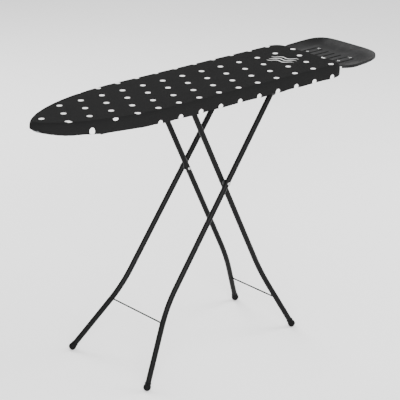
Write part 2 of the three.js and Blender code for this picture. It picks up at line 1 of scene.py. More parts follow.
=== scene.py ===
"""Folding ironing board: a dotted cotton cover on a steel deck, two crossed tube frames and an iron rest.

Metres, +Z up. +X points from the nose to the iron rest, +Y is the left side, the floor is at zero.
"""

import json
import math
from contextlib import contextmanager

import bmesh
import bpy
import numpy as np
from mathutils import Matrix, Vector, noise

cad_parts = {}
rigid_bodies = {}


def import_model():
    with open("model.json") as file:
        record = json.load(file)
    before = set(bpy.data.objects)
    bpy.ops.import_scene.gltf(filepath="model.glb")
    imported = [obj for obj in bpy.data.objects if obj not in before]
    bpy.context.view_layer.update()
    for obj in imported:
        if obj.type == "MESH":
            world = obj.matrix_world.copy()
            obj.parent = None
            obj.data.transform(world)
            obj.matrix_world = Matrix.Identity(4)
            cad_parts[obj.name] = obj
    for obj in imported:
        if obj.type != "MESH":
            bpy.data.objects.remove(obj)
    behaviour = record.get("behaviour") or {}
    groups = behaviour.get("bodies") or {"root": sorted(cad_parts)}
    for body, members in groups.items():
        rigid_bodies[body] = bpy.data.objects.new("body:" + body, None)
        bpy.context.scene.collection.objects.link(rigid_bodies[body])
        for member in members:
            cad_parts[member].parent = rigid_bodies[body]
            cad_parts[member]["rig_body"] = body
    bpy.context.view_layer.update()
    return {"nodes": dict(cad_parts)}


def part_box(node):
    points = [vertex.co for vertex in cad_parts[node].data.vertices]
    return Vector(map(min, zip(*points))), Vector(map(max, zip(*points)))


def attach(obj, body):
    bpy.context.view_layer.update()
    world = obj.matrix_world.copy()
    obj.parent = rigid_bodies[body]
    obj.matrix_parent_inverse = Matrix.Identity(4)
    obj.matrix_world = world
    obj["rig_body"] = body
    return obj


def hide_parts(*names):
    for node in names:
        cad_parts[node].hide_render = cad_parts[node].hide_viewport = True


bl_info = {
    "name": "Folding Ironing Board",
    "version": (1, 0, 0),
    "blender": (4, 5, 0),
    "location": "View3D > Sidebar > Ironing Board",
    "description": "Makes the cloth, steel and rubber pieces of a folding ironing board around its frame",
    "category": "Add Mesh",
}

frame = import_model()
SIDES = {"left": 1, "right": -1}


def centre(node):
    """Middle of a frame node."""
    low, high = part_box(node)
    return (low + high) / 2


# ---------- places and sizes taken from the frame ----------

COVER_LOW, COVER_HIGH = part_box("cover")
DECK_LOW, DECK_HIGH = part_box("deck_mesh")
RIM_LOW, RIM_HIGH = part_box("deck_rim")
FELT_LOW, FELT_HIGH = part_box("felt_pad")
TRAY_LOW, TRAY_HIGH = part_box("iron_rest_tray")
PIVOT = centre("pivot_rivet_left")
BAR = {"outer": centre("outer_top_bar"), "inner": centre("inner_top_bar")}
LEVER_PIN = centre("lever_pin")
NOSE_X, WIDE_X, HALF_WIDTH = COVER_LOW.x, COVER_HIGH.x, COVER_HIGH.y
TOP_Z, HEM_Z = COVER_HIGH.z, COVER_LOW.z
HANGER_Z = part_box("slide_rail_left")[1].z

# ---------- shape of the board's outline ----------

NOSE_LENGTH = 0.430
NOSE_FULLNESS = 1.3
CORNER_R = 0.048
NOSE_SHARE, SIDE_SHARE, CORNER_SHARE = 0.5, 0.75, 0.9   # where each stretch of the outline ends
RIM_INSET = (0.0025, 0.0245)
RIM_EDGE_R = 0.008
RIM_STEEL = 0.0015
COVER_EDGE = (0.0145, 0.022)   # rounding of the covered edge, inwards and downwards
CASING_R = 0.0023              # turn of the hem round its elastic
CASING_DEPTH = 0.0095          # how far the turned end of the hem reaches back
MERGE = 1e-6                   # points closer than this are one point
SPINE_RINGS = 14               # rings of a flat sheet from the middle of the board to its edge
POINTS_AROUND = {"cover": 960, "felt": 480, "rim": 360, "deck": 240}

# ---------- the print and the hem of the cover ----------

FIRST_DOT = (-0.5124, 0.0694)
PRINT_SKEW = 0.008             # slant of the rows of dots against the board
PRINT_PIVOT_X = 0.35           # where a slanted row crosses its straight place
PRINT_EDGE = 0.0003            # half width of a printed edge
THREAD_PITCH = 0.0011
FOLD_PITCH, PUCKER_PITCH = 0.0125, 0.021

# ---------- shape of the frames ----------

TUBE_R = 0.009
LEGS = {
    "inner": {"top_y": 0.087, "bend_y": 0.086, "bend_z": 0.211, "foot_y": 0.148, "brace_z": 0.110},
    "outer": {"top_y": 0.106, "bend_y": 0.115, "bend_z": 0.217, "foot_y": 0.201, "brace_z": 0.174},
}
BEND_REACH = 0.066
LEG_END_Z = 0.0105
BRACE_R = 0.0024
BAR_WELD_RIPPLE = 0.0022
BRACE_WELD_R, BRACE_WELD_RIPPLE = 0.0011, 0.0018
BRACE_WELD_SEED = 5            # keeps the brace welds apart from those of the bars
SPACER_R = 0.0088
RIVET_R = 0.004
RIVET_HEAD_R = 0.0056
FOOT_R = 0.0123
FOOT_HEIGHT = 0.030

# ---------- shape of the iron rest ----------

TRAY_SHARPNESS = 5
TRAY_STEEL = 0.0025
TRAY_FLAT_SHARE = 0.7
TRAY_SIDE_RISE = 0.009
TRAY_END_RISE = 0.014
TRAY_TUCK_REACH, TRAY_TUCK_SHARE = 0.045, 0.13   # how the rest narrows at the board
STRAP_Y = 0.075


# ---------- settings ----------

def colour(name, description, default):
    return bpy.props.FloatVectorProperty(
        name=name, description=description, subtype="COLOR", size=3, min=0, max=1, default=default)


def length(name, description, default):
    return bpy.props.FloatProperty(name=name, description=description, default=default, unit="LENGTH")


def power(name, description, default):
    return bpy.props.FloatProperty(name=name, description=description, default=default, unit="POWER")


class CoverSettings(bpy.types.PropertyGroup):
    """Sizes and colours of the cotton cover"""

    cloth_colour: colour("Cloth colour", "Dyed ground of the cotton", (0.0122, 0.0122, 0.0123))
    dot_colour: colour("Dot colour", "Printed dots", (0.90, 0.90, 0.89))
    dot_diameter: length("Dot diameter", "Across one printed dot", 0.01765)
    dot_pitch: length("Dot pitch", "Between dots of one row", 0.0810)
    row_pitch: length("Row pitch", "Between two rows of dots", 0.0706)
    row_shift: length("Row shift", "How far each row starts behind the last", 0.0365)
    thickness: length("Cloth thickness", "Thickness of the cotton", 0.0009)
    hem_width: length("Hem width", "How far the cloth turns in underneath", 0.036)
    gather_depth: length("Gather depth", "Height of the folds in the hem", 0.0048)
    stitch_spacing: length("Stitch spacing", "Between stitches of the hem", 0.0042)


class MetalSettings(bpy.types.PropertyGroup):
    """Sizes and colours of the steel pieces"""

    paint_colour: colour("Paint colour", "Powder coat of the frames", (0.0056, 0.0056, 0.0057))
    deck_colour: colour("Deck colour", "Coating of the deck steel", (0.075, 0.078, 0.082))
    tube_sides: bpy.props.IntProperty(
        name="Tube sides", description="Faces around a tube", default=40, min=12)
    edge_rounding: length("Edge rounding", "Radius on the edges of pressed steel", 0.0005)
    mesh_pitch: bpy.props.FloatVectorProperty(
        name="Mesh pitch", description="Length and width of one diamond in the deck", size=2,
        default=(0.022, 0.011), unit="LENGTH")
    bead_radius: length("Weld bead", "Radius of the welds on the top bars", 0.0014)


class StageSettings(bpy.types.PropertyGroup):
    """Camera and light"""

    camera_place: bpy.props.FloatVectorProperty(
        name="Camera place", description="Where the camera stands", size=3, subtype="XYZ",
        unit="LENGTH", default=(-3.465, -4.021, 2.508))
    camera_turn: bpy.props.FloatVectorProperty(
        name="Camera turn", description="Tilt, roll and heading of the camera", size=3,
        subtype="EULER", unit="ROTATION",
        default=(math.radians(69.15886), 0, math.radians(-40.64071)))
    lens: bpy.props.FloatProperty(name="Lens", description="Focal length", default=155.87, unit="CAMERA")
    key_power: power("Key light", "Power of the large soft light", 300)
    fill_power: power("Fill light", "Power of each light on the shaded sides", 130)
    surround: bpy.props.FloatProperty(
        name="Surround", description="Brightness of the room around the object", default=1.15)


# ---------- node trees ----------

class Field:
    """A value that varies over a surface or a set of points, written as a Python expression."""

    def __init__(self, maker, socket):
        self.maker = maker
        self.socket = socket

    def calc(self, operation, *values):
        made = self.maker.node("ShaderNodeMath", {"operation": operation}, dict(enumerate(values)))
        return Field(self.maker, made.outputs[0])

    def __add__(self, other):
        return self.calc("ADD", self, other)

    def __radd__(self, other):
        return self.calc("ADD", other, self)

    def __sub__(self, other):
        return self.calc("SUBTRACT", self, other)

    def __rsub__(self, other):
        return self.calc("SUBTRACT", other, self)

    def __mul__(self, other):
        return self.calc("MULTIPLY", self, other)

    def __rmul__(self, other):
        return self.calc("MULTIPLY", other, self)

    def __truediv__(self, other):
        return self.calc("DIVIDE", self, other)

    def __abs__(self):
        return self.calc("ABSOLUTE", self)

    def sine(self):
        return self.calc("SINE", self)

    def nearest(self):
        return self.calc("ROUND", self)

    def highest(self, other):
        return self.calc("MAXIMUM", self, other)

    def power(self, exponent):
        return self.calc("POWER", self, exponent)

    def is_near(self, number):
        return self.calc("COMPARE", self, number, 0.1)

    def rise(self, low, high):
        """0 below low, 1 above high, smooth between them."""
        made = self.maker.node("ShaderNodeMapRange", {"interpolation_type": "SMOOTHSTEP"},
                               {"Value": self, "From Min": low, "From Max": high})
        return Field(self.maker, made.outputs[0])


class NodeMaker:
    """Adds nodes to a tree, each with its settings, values and links."""

    def __init__(self, tree):
        self.tree = tree

    def node(self, kind, settings=None, inputs=None):
        made = self.tree.nodes.new(kind)
        for name, value in (settings or {}).items():
            setattr(made, name, value)
        for key, value in (inputs or {}).items():
            self.feed(made.inputs[key] if isinstance(key, int) else self.find(made.inputs, key), value)
        return made

    def feed(self, socket, value):
        """Links a socket to a field or to another socket, or gives it a plain value."""
        if isinstance(value, (Field, bpy.types.NodeSocket)):
            self.tree.links.new(getattr(value, "socket", value), socket)
        else:
            socket.default_value = value

    def find(self, sockets, key):
        for socket in sockets:
            if socket.identifier == key or (socket.name == key and socket.enabled):
                return socket
        raise KeyError(f"no socket called {key}")

    def field(self, kind, settings=None, inputs=None, output=0):
        return Field(self, self.node(kind, settings, inputs).outputs[output])


class Finish(NodeMaker):
    """A procedural material."""

    def __init__(self, name):
        self.material = bpy.data.materials.new(name)
        self.material.use_nodes = True
        super().__init__(self.material.node_tree)
        self.shader = self.tree.nodes["Principled BSDF"]
        self.place = self.node("ShaderNodeTexCoord").outputs["Object"]

    def grain(self, scale, detail=2.0, stretch=None):
        """Noise from 0 to 1, with this many features in a metre."""
        place = self.place
        if stretch:
            place = self.node("ShaderNodeMapping", {}, {"Vector": place, "Scale": stretch}).outputs[0]
        return self.field("ShaderNodeTexNoise", {}, {"Vector": place, "Scale": scale, "Detail": detail})

    def cells(self, scale, feature="F1", output="Distance"):
        made = self.node("ShaderNodeTexVoronoi", {"feature": feature}, {"Vector": self.place, "Scale": scale})
        return Field(self, made.outputs[output])

    def height_above_floor(self):
        split = self.node("ShaderNodeSeparateXYZ", {}, {0: self.place})
        return Field(self, split.outputs["Z"])

    def mix(self, factor, first, second):
        inputs = {"Factor_Float": factor, "A_Color": first, "B_Color": second}
        made = self.node("ShaderNodeMix", {"data_type": "RGBA"}, inputs)
        return self.find(made.outputs, "Result_Color")

    def bump(self, height, distance, strength=1.0, below=None):
        inputs = {"Height": height, "Distance": distance, "Strength": strength}
        if below is not None:
            inputs["Normal"] = below
        return self.node("ShaderNodeBump", {}, inputs).outputs[0]

    def surface(self, **sockets):
        for name, value in sockets.items():
            self.feed(self.find(self.shader.inputs, name.replace("_", " ")), value)
        return self.material


class PieceTree(NodeMaker):
    """A Geometry Nodes tree with named inputs, which ends in real geometry with one material."""

    KINDS = {float: "NodeSocketFloat", int: "NodeSocketInt", bpy.types.Object: "NodeSocketObject"}

    def __init__(self, name, **kinds):
        group = bpy.data.node_groups.new(name, "GeometryNodeTree")
        super().__init__(group)
        group.interface.new_socket("Geometry", in_out="INPUT", socket_type="NodeSocketGeometry")
        group.interface.new_socket("Geometry", in_out="OUTPUT", socket_type="NodeSocketGeometry")
        self.ids = {}
        for label, kind in kinds.items():
            made = group.interface.new_socket(label, in_out="INPUT", socket_type=self.KINDS[kind])
            self.ids[label] = made.identifier
        made = group.interface.new_socket("finish", in_out="INPUT", socket_type="NodeSocketMaterial")
        self.ids["finish"] = made.identifier
        self.source = self.node("NodeGroupInput")

    def given(self, label):
        return Field(self, self.source.outputs[label])

    def end(self, geometry, smooth=True):
        real = self.node("GeometryNodeRealizeInstances", {}, {"Geometry": geometry}).outputs[0]
        shade = self.node("GeometryNodeSetShadeSmooth", {}, {"Geometry": real, "Shade Smooth": smooth})
        paint = self.node("GeometryNodeSetMaterial", {}, {
            "Geometry": shade.outputs[0], "Material": self.given("finish")})
        self.node("NodeGroupOutput", {}, {0: paint.outputs[0]})
        return self

    def grow(self, piece, **values):
        """Runs the tree on a piece and keeps the result as its plain mesh."""
        modifier = piece.modifiers.new("shape", "NODES")
        modifier.node_group = self.tree
        for label, value in values.items():
            modifier[self.ids[label]] = value
        return keep_result(piece)


def keep_result(piece):
    """Turns a piece's modifiers into its plain mesh."""
    bpy.context.view_layer.update()
    evaluated = piece.evaluated_get(bpy.context.evaluated_depsgraph_get())
    mesh = bpy.data.meshes.new_from_object(evaluated)
    piece.modifiers.clear()
    old = piece.data
    piece.data = mesh
    bpy.data.meshes.remove(old)
    mesh.name = piece.name
    return piece


def path_tube_tree():
    """A round tube or wire along each line of the base mesh."""
    tree = PieceTree("path_tube", radius=float, sides=int)
    line = tree.node("GeometryNodeMeshToCurve", {}, {"Mesh": tree.source.outputs["Geometry"]})
    section = tree.node("GeometryNodeCurvePrimitiveCircle", {}, {
        "Resolution": tree.given("sides"), "Radius": tree.given("radius")})
    tube = tree.node("GeometryNodeCurveToMesh", {}, {
        "Curve": line.outputs[0], "Profile Curve": section.outputs[0], "Fill Caps": True})
    return tree.end(tube.outputs[0])


def weld_bead_tree():
    """A rippled weld bead along each line of the base mesh."""
    tree = PieceTree("weld_bead", radius=float, ripple=float, seed=int)
    line = tree.node("GeometryNodeMeshToCurve", {}, {"Mesh": tree.source.outputs["Geometry"]})
    step = tree.given("ripple") / 4
    even = tree.node("GeometryNodeResampleCurve", {"mode": "LENGTH"}, {
        "Curve": line.outputs[0], "Length": step})
    index = tree.field("GeometryNodeInputIndex")
    uneven = tree.field("FunctionNodeRandomValue", {"data_type": "FLOAT"}, {
        "Min_001": 0.9, "Max_001": 1.1, "Seed": tree.given("seed")}, output=1)
    swell = (1 + 0.16 * (index * (math.pi / 2)).sine()) * uneven
    section = tree.node("GeometryNodeCurvePrimitiveCircle", {}, {
        "Resolution": 8, "Radius": tree.given("radius")})
    bead = tree.node("GeometryNodeCurveToMesh", {}, {
        "Curve": even.outputs[0], "Profile Curve": section.outputs[0], "Fill Caps": True,
        "Scale": swell})
    return tree.end(bead.outputs[0])


def fastener_tree():
    """A copy of one turned part on each point of the base mesh, aimed along the point's aim."""
    tree = PieceTree("fasteners", part=bpy.types.Object)
    part = tree.node("GeometryNodeObjectInfo", {}, {"Object": tree.given("part")})
    aim = tree.node("GeometryNodeInputNamedAttribute", {"data_type": "FLOAT_VECTOR"}, {"Name": "aim"})
    turn = tree.node("FunctionNodeAlignRotationToVector", {"axis": "Z"}, {"Vector": aim.outputs[0]})
    copies = tree.node("GeometryNodeInstanceOnPoints", {}, {
        "Points": tree.source.outputs["Geometry"], "Instance": part.outputs["Geometry"],
        "Rotation": turn.outputs[0]})
    return tree.end(copies.outputs[0], smooth=False)


def stitch_tree():
    """A row of stitches along each line of the base mesh."""
    tree = PieceTree("stitches", part=bpy.types.Object, spacing=float)
    line = tree.node("GeometryNodeMeshToCurve", {}, {"Mesh": tree.source.outputs["Geometry"]})
    even = tree.node("GeometryNodeCurveToPoints", {"mode": "LENGTH"}, {
        "Curve": line.outputs[0], "Length": tree.given("spacing")})
    part = tree.node("GeometryNodeObjectInfo", {}, {"Object": tree.given("part")})
    turn = tree.node("FunctionNodeAlignRotationToVector", {"axis": "X"}, {
        "Vector": even.outputs["Tangent"]})
    copies = tree.node("GeometryNodeInstanceOnPoints", {}, {
        "Points": even.outputs["Points"], "Instance": part.outputs["Geometry"],
        "Rotation": turn.outputs[0]})
    return tree.end(copies.outputs[0])


def diamond_mesh_tree():
    """Strands on a staggered lattice, wherever the base mesh lies under the lattice's point."""
    tree = PieceTree("diamond_mesh", part=bpy.types.Object, pitch_x=float, pitch_y=float,
                     columns=int, rows=int)
    half_row = tree.given("pitch_y") / 2
    grid = tree.node("GeometryNodeMeshGrid", {}, {
        "Size X": (tree.given("columns") - 1) * tree.given("pitch_x"),
        "Size Y": (tree.given("rows") - 1) * half_row,
        "Vertices X": tree.given("columns"), "Vertices Y": tree.given("rows")})
    place = tree.node("GeometryNodeInputPosition")
    row = (tree.field("ShaderNodeSeparateXYZ", {}, {0: place.outputs[0]}, output=1) / half_row).nearest()
    odd = abs(row.calc("MODULO", row, 2.0))
    shift = tree.node("ShaderNodeCombineXYZ", {}, {"X": odd * tree.given("pitch_x") * 0.5})
    lattice = tree.node("GeometryNodeSetPosition", {}, {
        "Geometry": grid.outputs[0], "Offset": shift.outputs[0]})
    beyond = tree.node("ShaderNodeVectorMath", {"operation": "ADD"}, {
        0: place.outputs[0], 1: (0, 0, 1)})
    under = tree.node("GeometryNodeRaycast", {}, {
        "Target Geometry": tree.source.outputs["Geometry"], "Source Position": beyond.outputs[0],
        "Ray Direction": (0, 0, -1), "Ray Length": 2.0})
    outside = tree.node("FunctionNodeBooleanMath", {"operation": "NOT"}, {0: under.outputs["Is Hit"]})
    kept = tree.node("GeometryNodeDeleteGeometry", {"domain": "POINT"}, {
        "Geometry": lattice.outputs[0], "Selection": outside.outputs[0]})
    part = tree.node("GeometryNodeObjectInfo", {}, {"Object": tree.given("part")})
    copies = tree.node("GeometryNodeInstanceOnPoints", {}, {
        "Points": kept.outputs[0], "Instance": part.outputs["Geometry"]})
    return tree.end(copies.outputs[0], smooth=False)


# ---------- materials ----------

def cotton():
    """Black woven cotton with white dots and a small pattern of waves at the wide end."""
    look = bpy.context.scene.board_cover
    finish = Finish("black_cotton_with_dots")
    chart = finish.node("ShaderNodeUVMap", {"uv_map": "cloth"}).outputs[0]
    split = finish.node("ShaderNodeSeparateXYZ", {}, {0: chart})
    along, across = Field(finish, split.outputs["X"]), Field(finish, split.outputs["Y"])

    first_x, first_y = FIRST_DOT
    row_place = (first_y + (PRINT_PIVOT_X - along) * PRINT_SKEW - across) / look.row_pitch
    row = row_place.nearest()
    column_place = (along - first_x + row * look.row_shift) / look.dot_pitch
    column = column_place.nearest()
    offset_x = (column_place - column) * look.dot_pitch
    offset_y = (row_place - row) * look.row_pitch
    distance = (offset_x * offset_x + offset_y * offset_y).power(0.5)
    ragged = (finish.grain(1100, 1.0) - 0.5) * 0.0006
    radius = look.dot_diameter / 2
    dots = 1 - (distance + ragged).rise(radius - PRINT_EDGE, radius + PRINT_EDGE)
    # two places of the lattice stay blank: one under the waves, one at the hem beside the nose
    gap = (column.is_near(11) * row.is_near(1)).highest(column.is_near(-1) * row.is_near(2))
    waves = wave_pattern(finish, along, across)
    print_mask = (dots * (1 - gap)).highest(waves)

    thread = 2 * math.pi / THREAD_PITCH
    weave = ((along * thread).sine() * (across * thread).sine()) * 0.5 + 0.5
    slub = finish.grain(260, 3.0)
    worn = finish.grain(9, 3.0)
    shade = 0.78 + 0.30 * weave + 0.22 * slub + 0.16 * worn
    dark = finish.mix(shade.rise(0.7, 1.5), (0.0064, 0.0064, 0.0065, 1), (*look.cloth_colour, 1))
    light = finish.mix(weave, (0.74, 0.74, 0.73, 1), (*look.dot_colour, 1))
    colour = finish.mix(print_mask, dark, light)
    creases = finish.grain(34, 3.0, stretch=(1, 0.6, 1))
    soft = finish.bump(creases, 0.0016, 0.35)
    normal = finish.bump(weave + 0.6 * slub, 0.00022, 0.5, below=soft)
    return finish.surface(
        Base_Color=colour, Roughness=0.86 + 0.1 * slub - 0.18 * print_mask, Normal=normal,
        Sheen_Weight=0.003, Sheen_Roughness=0.5, Specular_IOR_Level=0.02)


def wave_pattern(finish, along, across):
    """Three thin waves, as steam is often drawn."""
    middle = (0.347, 0.000)
    heading = math.radians(-66)
    spacing, length, swing, wave, line = 0.021, 0.105, 0.0062, 0.0525, 0.0021
    from_x, from_y = along - middle[0], across - middle[1]
    forward = from_x * math.cos(heading) + from_y * math.sin(heading)
    sideways = from_y * math.cos(heading) - from_x * math.sin(heading)
    bent = sideways + (forward * (2 * math.pi / wave)).sine() * swing
    strand = (bent / spacing).nearest()
    off_line = abs(bent - strand * spacing)
    taper = 1 - (abs(forward) * (2 / length)).rise(0.55, 1.0)
    inside = 1 - abs(strand).rise(1.2, 1.4)
    return (1 - (off_line - taper * line).rise(-PRINT_EDGE, PRINT_EDGE)) * inside * taper.rise(0.02, 0.06)


def felt():
    finish = Finish("grey_felt")
    fibre = finish.grain(900, 4.0, stretch=(1, 0.35, 1))
    tuft = finish.grain(120, 3.0)
    colour = finish.mix(0.6 * fibre + 0.4 * tuft, (0.30, 0.28, 0.25, 1), (0.62, 0.60, 0.55, 1))
    return finish.surface(Base_Color=colour, Roughness=0.9 + 0.08 * fibre,
                          Normal=finish.bump(fibre + tuft, 0.0007, 0.8), Sheen_Weight=0.2)


def elastic():
    finish = Finish("braided_elastic")
    braid = (finish.height_above_floor() * 5200).sine() * 0.5 + finish.grain(700, 2.0)
    colour = finish.mix(braid, (0.012, 0.012, 0.012, 1), (0.05, 0.05, 0.05, 1))
    return finish.surface(Base_Color=colour, Roughness=0.75 + 0.1 * braid,
                          Normal=finish.bump(braid, 0.0004, 0.7))


def powder_coat(name, colour, roughness, wear):
    """Powder-coated steel: fine orange peel, faint dust, and scuffs low on the legs."""
    finish = Finish(name)
    peel = finish.grain(1500, 2.0)
    cloud = finish.grain(22, 3.0)
    streak = finish.grain(420, 2.0, stretch=(1, 1, 0.04))
    low = 1 - finish.height_above_floor().rise(0.03, 0.42)
    scuffed = (streak.rise(0.62, 0.74) * cloud.rise(0.45, 0.6)) * (0.25 + 0.75 * low) * wear
    lighter = tuple(min(1, c * 1.8 + 0.008) for c in colour)
    ground = finish.mix(cloud, (*colour, 1), (*(c * 1.35 for c in colour), 1))
    return finish.surface(
        Base_Color=finish.mix(scuffed, ground, (*lighter, 1)),
        Roughness=roughness + 0.09 * (cloud - 0.5) + 0.06 * peel + 0.14 * scuffed,
        Normal=finish.bump(peel, 0.00016, 0.45), Specular_IOR_Level=0.055)


def bright_steel():
    finish = Finish("bright_nickelled_steel")
    scratch = finish.grain(2600, 2.0, stretch=(0.1, 1, 1))
    cloud = finish.grain(160, 2.0)
    colour = finish.mix(cloud, (0.30, 0.305, 0.31, 1), (0.46, 0.46, 0.455, 1))
    return finish.surface(Base_Color=colour, Metallic=1.0, Roughness=0.17 + 0.14 * scratch + 0.06 * cloud,
                          Normal=finish.bump(scratch, 0.00004, 0.4))


def zinc_steel():
    finish = Finish("zinc_plated_steel")
    spangle = finish.cells(240, output="Color")
    tone = finish.field("ShaderNodeSeparateXYZ", {}, {0: spangle})
    haze = finish.grain(45, 3.0)
    colour = finish.mix(0.7 * tone + 0.3 * haze, (0.36, 0.38, 0.40, 1), (0.47, 0.49, 0.51, 1))
    return finish.surface(Base_Color=colour, Metallic=0.9, Roughness=0.36 + 0.05 * tone + 0.08 * haze,
                          Normal=finish.bump(tone, 0.00006, 0.4))


def rubber():
    finish = Finish("black_rubber")
    speckle = finish.grain(1700, 2.0)
    chalk = finish.grain(60, 4.0)
    low = 1 - finish.height_above_floor().rise(0.001, 0.012)
    dusty = chalk.rise(0.5, 0.75) * (0.25 + 0.6 * low)
    colour = finish.mix(dusty, (0.0035, 0.0035, 0.0036, 1), (0.011, 0.0108, 0.0105, 1))
    return finish.surface(Base_Color=colour, Roughness=0.46 + 0.12 * speckle + 0.2 * dusty,
                          Normal=finish.bump(speckle, 0.0002, 0.5), Specular_IOR_Level=0.06)


def nylon():
    finish = Finish("moulded_nylon")
    grain = finish.cells(1900)
    flow = finish.grain(40, 2.0, stretch=(0.3, 1, 1))
    colour = finish.mix(flow, (0.012, 0.012, 0.013, 1), (0.026, 0.026, 0.028, 1))
    return finish.surface(Base_Color=colour, Roughness=0.44 + 0.1 * grain + 0.1 * flow,
                          Normal=finish.bump(grain, 0.0001, 0.5))


def tray_plastic():
    """Heat-proof plastic with a leather grain, polished where irons slide."""
    finish = Finish("grained_black_plastic")
    leather = finish.cells(520, feature="SMOOTH_F1")
    pores = finish.grain(2400, 2.0)
    rubbed = finish.grain(26, 3.0, stretch=(0.35, 1, 1)).rise(0.48, 0.66)
    colour = finish.mix(0.5 * rubbed + 0.5 * leather, (0.005, 0.005, 0.0052, 1), (0.012, 0.012, 0.0124, 1))
    return finish.surface(Base_Color=colour, Roughness=0.40 + 0.16 * leather - 0.1 * rubbed,
                          Normal=finish.bump(leather + 0.3 * pores, 0.0003, 0.5),
                          Specular_IOR_Level=0.09)


FINISHES = {}


def make_finishes():
    """One material for each slot of the record."""
    metal = bpy.context.scene.board_metal
    FINISHES.update({
        "cover_cloth": cotton(),
        "felt": felt(),
        "elastic": elastic(),
        "deck_steel": powder_coat("dark_deck_coating", tuple(metal.deck_colour), 0.46, 0.6),
        "frame_steel": powder_coat("satin_black_coating", tuple(metal.paint_colour), 0.33, 0.8),
        "bright_steel": bright_steel(),
        "zinc_steel": zinc_steel(),
        "foot_rubber": rubber(),
        "black_nylon": nylon(),
        "tray_plastic": tray_plastic(),
    })


# ---------- making pieces ----------

def around(count):
    """Evenly spaced angles of one full turn."""
    return [2 * math.pi * k / count for k in range(count)]


@contextmanager
def reshaping(piece):
    """Opens the mesh of a piece for changes and writes them back."""
    shape = bmesh.new()
    shape.from_mesh(piece.data)
    yield shape
    shape.to_mesh(piece.data)
    shape.free()


def new_object(name, points, faces=(), lines=()):
    mesh = bpy.data.meshes.new(name)
    mesh.from_pydata([tuple(p) for p in points], [tuple(e) for e in lines], [tuple(f) for f in faces])
    made = bpy.data.objects.new(name, mesh)
    bpy.context.scene.collection.objects.link(made)
    return made


def line_object(name, *lines, closed=False):
    """One object with a line of edges through each list of points."""
    points, edges = [], []
    for line in lines:
        start = len(points)
        points += [tuple(p) for p in line]
        edges += [(start + i, start + i + 1) for i in range(len(line) - 1)]
        if closed:
            edges.append((start + len(line) - 1, start))
    return new_object(name, points, lines=edges)


def point_object(name, points, aims):
    made = new_object(name, points)
    aim = made.data.attributes.new("aim", "FLOAT_VECTOR", "POINT")
    aim.data.foreach_set("vector", [c for a in aims for c in a])
    return made


def settle(piece, slot, body, *nodes, sharp=None):
    """Gives a piece its finish and its body, and hides the frame nodes that it stands for."""
    piece.data.materials.clear()
    piece.data.materials.append(FINISHES[slot])
    if sharp is not None:
        piece.data.shade_smooth()
        piece.data.set_sharp_from_angle(angle=math.radians(sharp))
    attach(piece, body)
    if nodes:
        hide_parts(*nodes)
    return piece


def curved(start, corner, end, steps):
    """Points of the curve that leaves start towards the corner and reaches end from it."""
    shares = [i / steps for i in range(steps + 1)]
    return [start * (1 - t) ** 2 + corner * (2 * t * (1 - t)) + end * t ** 2 for t in shares]


def bend_corners(corners, reach, steps=4):
    """A line of corners with each inner corner drawn as a curve."""
    line = [Vector(corners[0])]
    for before, corner, after in zip(corners, corners[1:], corners[2:]):
        before, corner, after = Vector(before), Vector(corner), Vector(after)
        back = min(reach, (before - corner).length * 0.45)
        ahead = min(reach, (after - corner).length * 0.45)
        start = corner + (before - corner).normalized() * back
        finish = corner + (after - corner).normalized() * ahead
        line += curved(start, corner, finish, steps)
    line.append(Vector(corners[-1]))
    return line


def turned(name, profile, segments=40):
    """A closed turned part around Z. The profile runs from the axis to the axis, as (radius, height)."""
    points = [(0, 0, profile[0][1])]
    for radius, height in profile[1:-1]:
        points += [(radius * math.cos(a), radius * math.sin(a), height) for a in around(segments)]
    points.append((0, 0, profile[-1][1]))
    rings = len(profile) - 2
    faces = []
    for k in range(segments):
        after = (k + 1) % segments
        faces.append((0, 1 + after, 1 + k))
        for ring in range(rings - 1):
            low, high = 1 + ring * segments, 1 + (ring + 1) * segments
            faces.append((low + k, low + after, high + after, high + k))
        last = 1 + (rings - 1) * segments
        faces.append((last + k, last + after, len(points) - 1))
    made = new_object(name, points, faces)
    close_up(made)
    return made


def close_up(piece, merge=MERGE):
    """Merges doubled points and turns every face outwards."""
    with reshaping(piece) as shape:
        bmesh.ops.remove_doubles(shape, verts=shape.verts, dist=merge)
        bmesh.ops.recalc_face_normals(shape, faces=shape.faces)
    return piece


def joined_rings(rings, closed_profile):
    """Faces between neighbouring rings of points, each ring a closed loop."""
    count = len(rings[0])
    faces = []
    last = len(rings) if closed_profile else len(rings) - 1
    for r in range(last):
        here, there = r * count, ((r + 1) % len(rings)) * count
        for k in range(count):
            after = (k + 1) % count
            faces.append((here + k, here + after, there + after, there + k))
    return faces


def pressed(node, slot, bevel):
    """A frame node made again with merged faces and rounded edges."""
    source = frame["nodes"][node]
    piece = bpy.data.objects.new(f"{node}_finished", source.data.copy())
    bpy.context.scene.collection.objects.link(piece)
    with reshaping(piece) as shape:
        bmesh.ops.remove_doubles(shape, verts=shape.verts, dist=1e-5)
        bmesh.ops.dissolve_limit(shape, angle_limit=math.radians(2), verts=shape.verts, edges=shape.edges)
    edge = piece.modifiers.new("rounded", "BEVEL")
    edge.width = bevel
    edge.segments = 3
    edge.limit_method = "ANGLE"
    edge.angle_limit = math.radians(38)
    edge.use_clamp_overlap = True
    keep_result(piece)
    return settle(piece, slot, source["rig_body"], node, sharp=50)


def discard(*helpers):
    """Removes objects that only helped to make a piece."""
    for helper in helpers:
        bpy.data.objects.remove(helper)


# ---------- the board's outline ----------

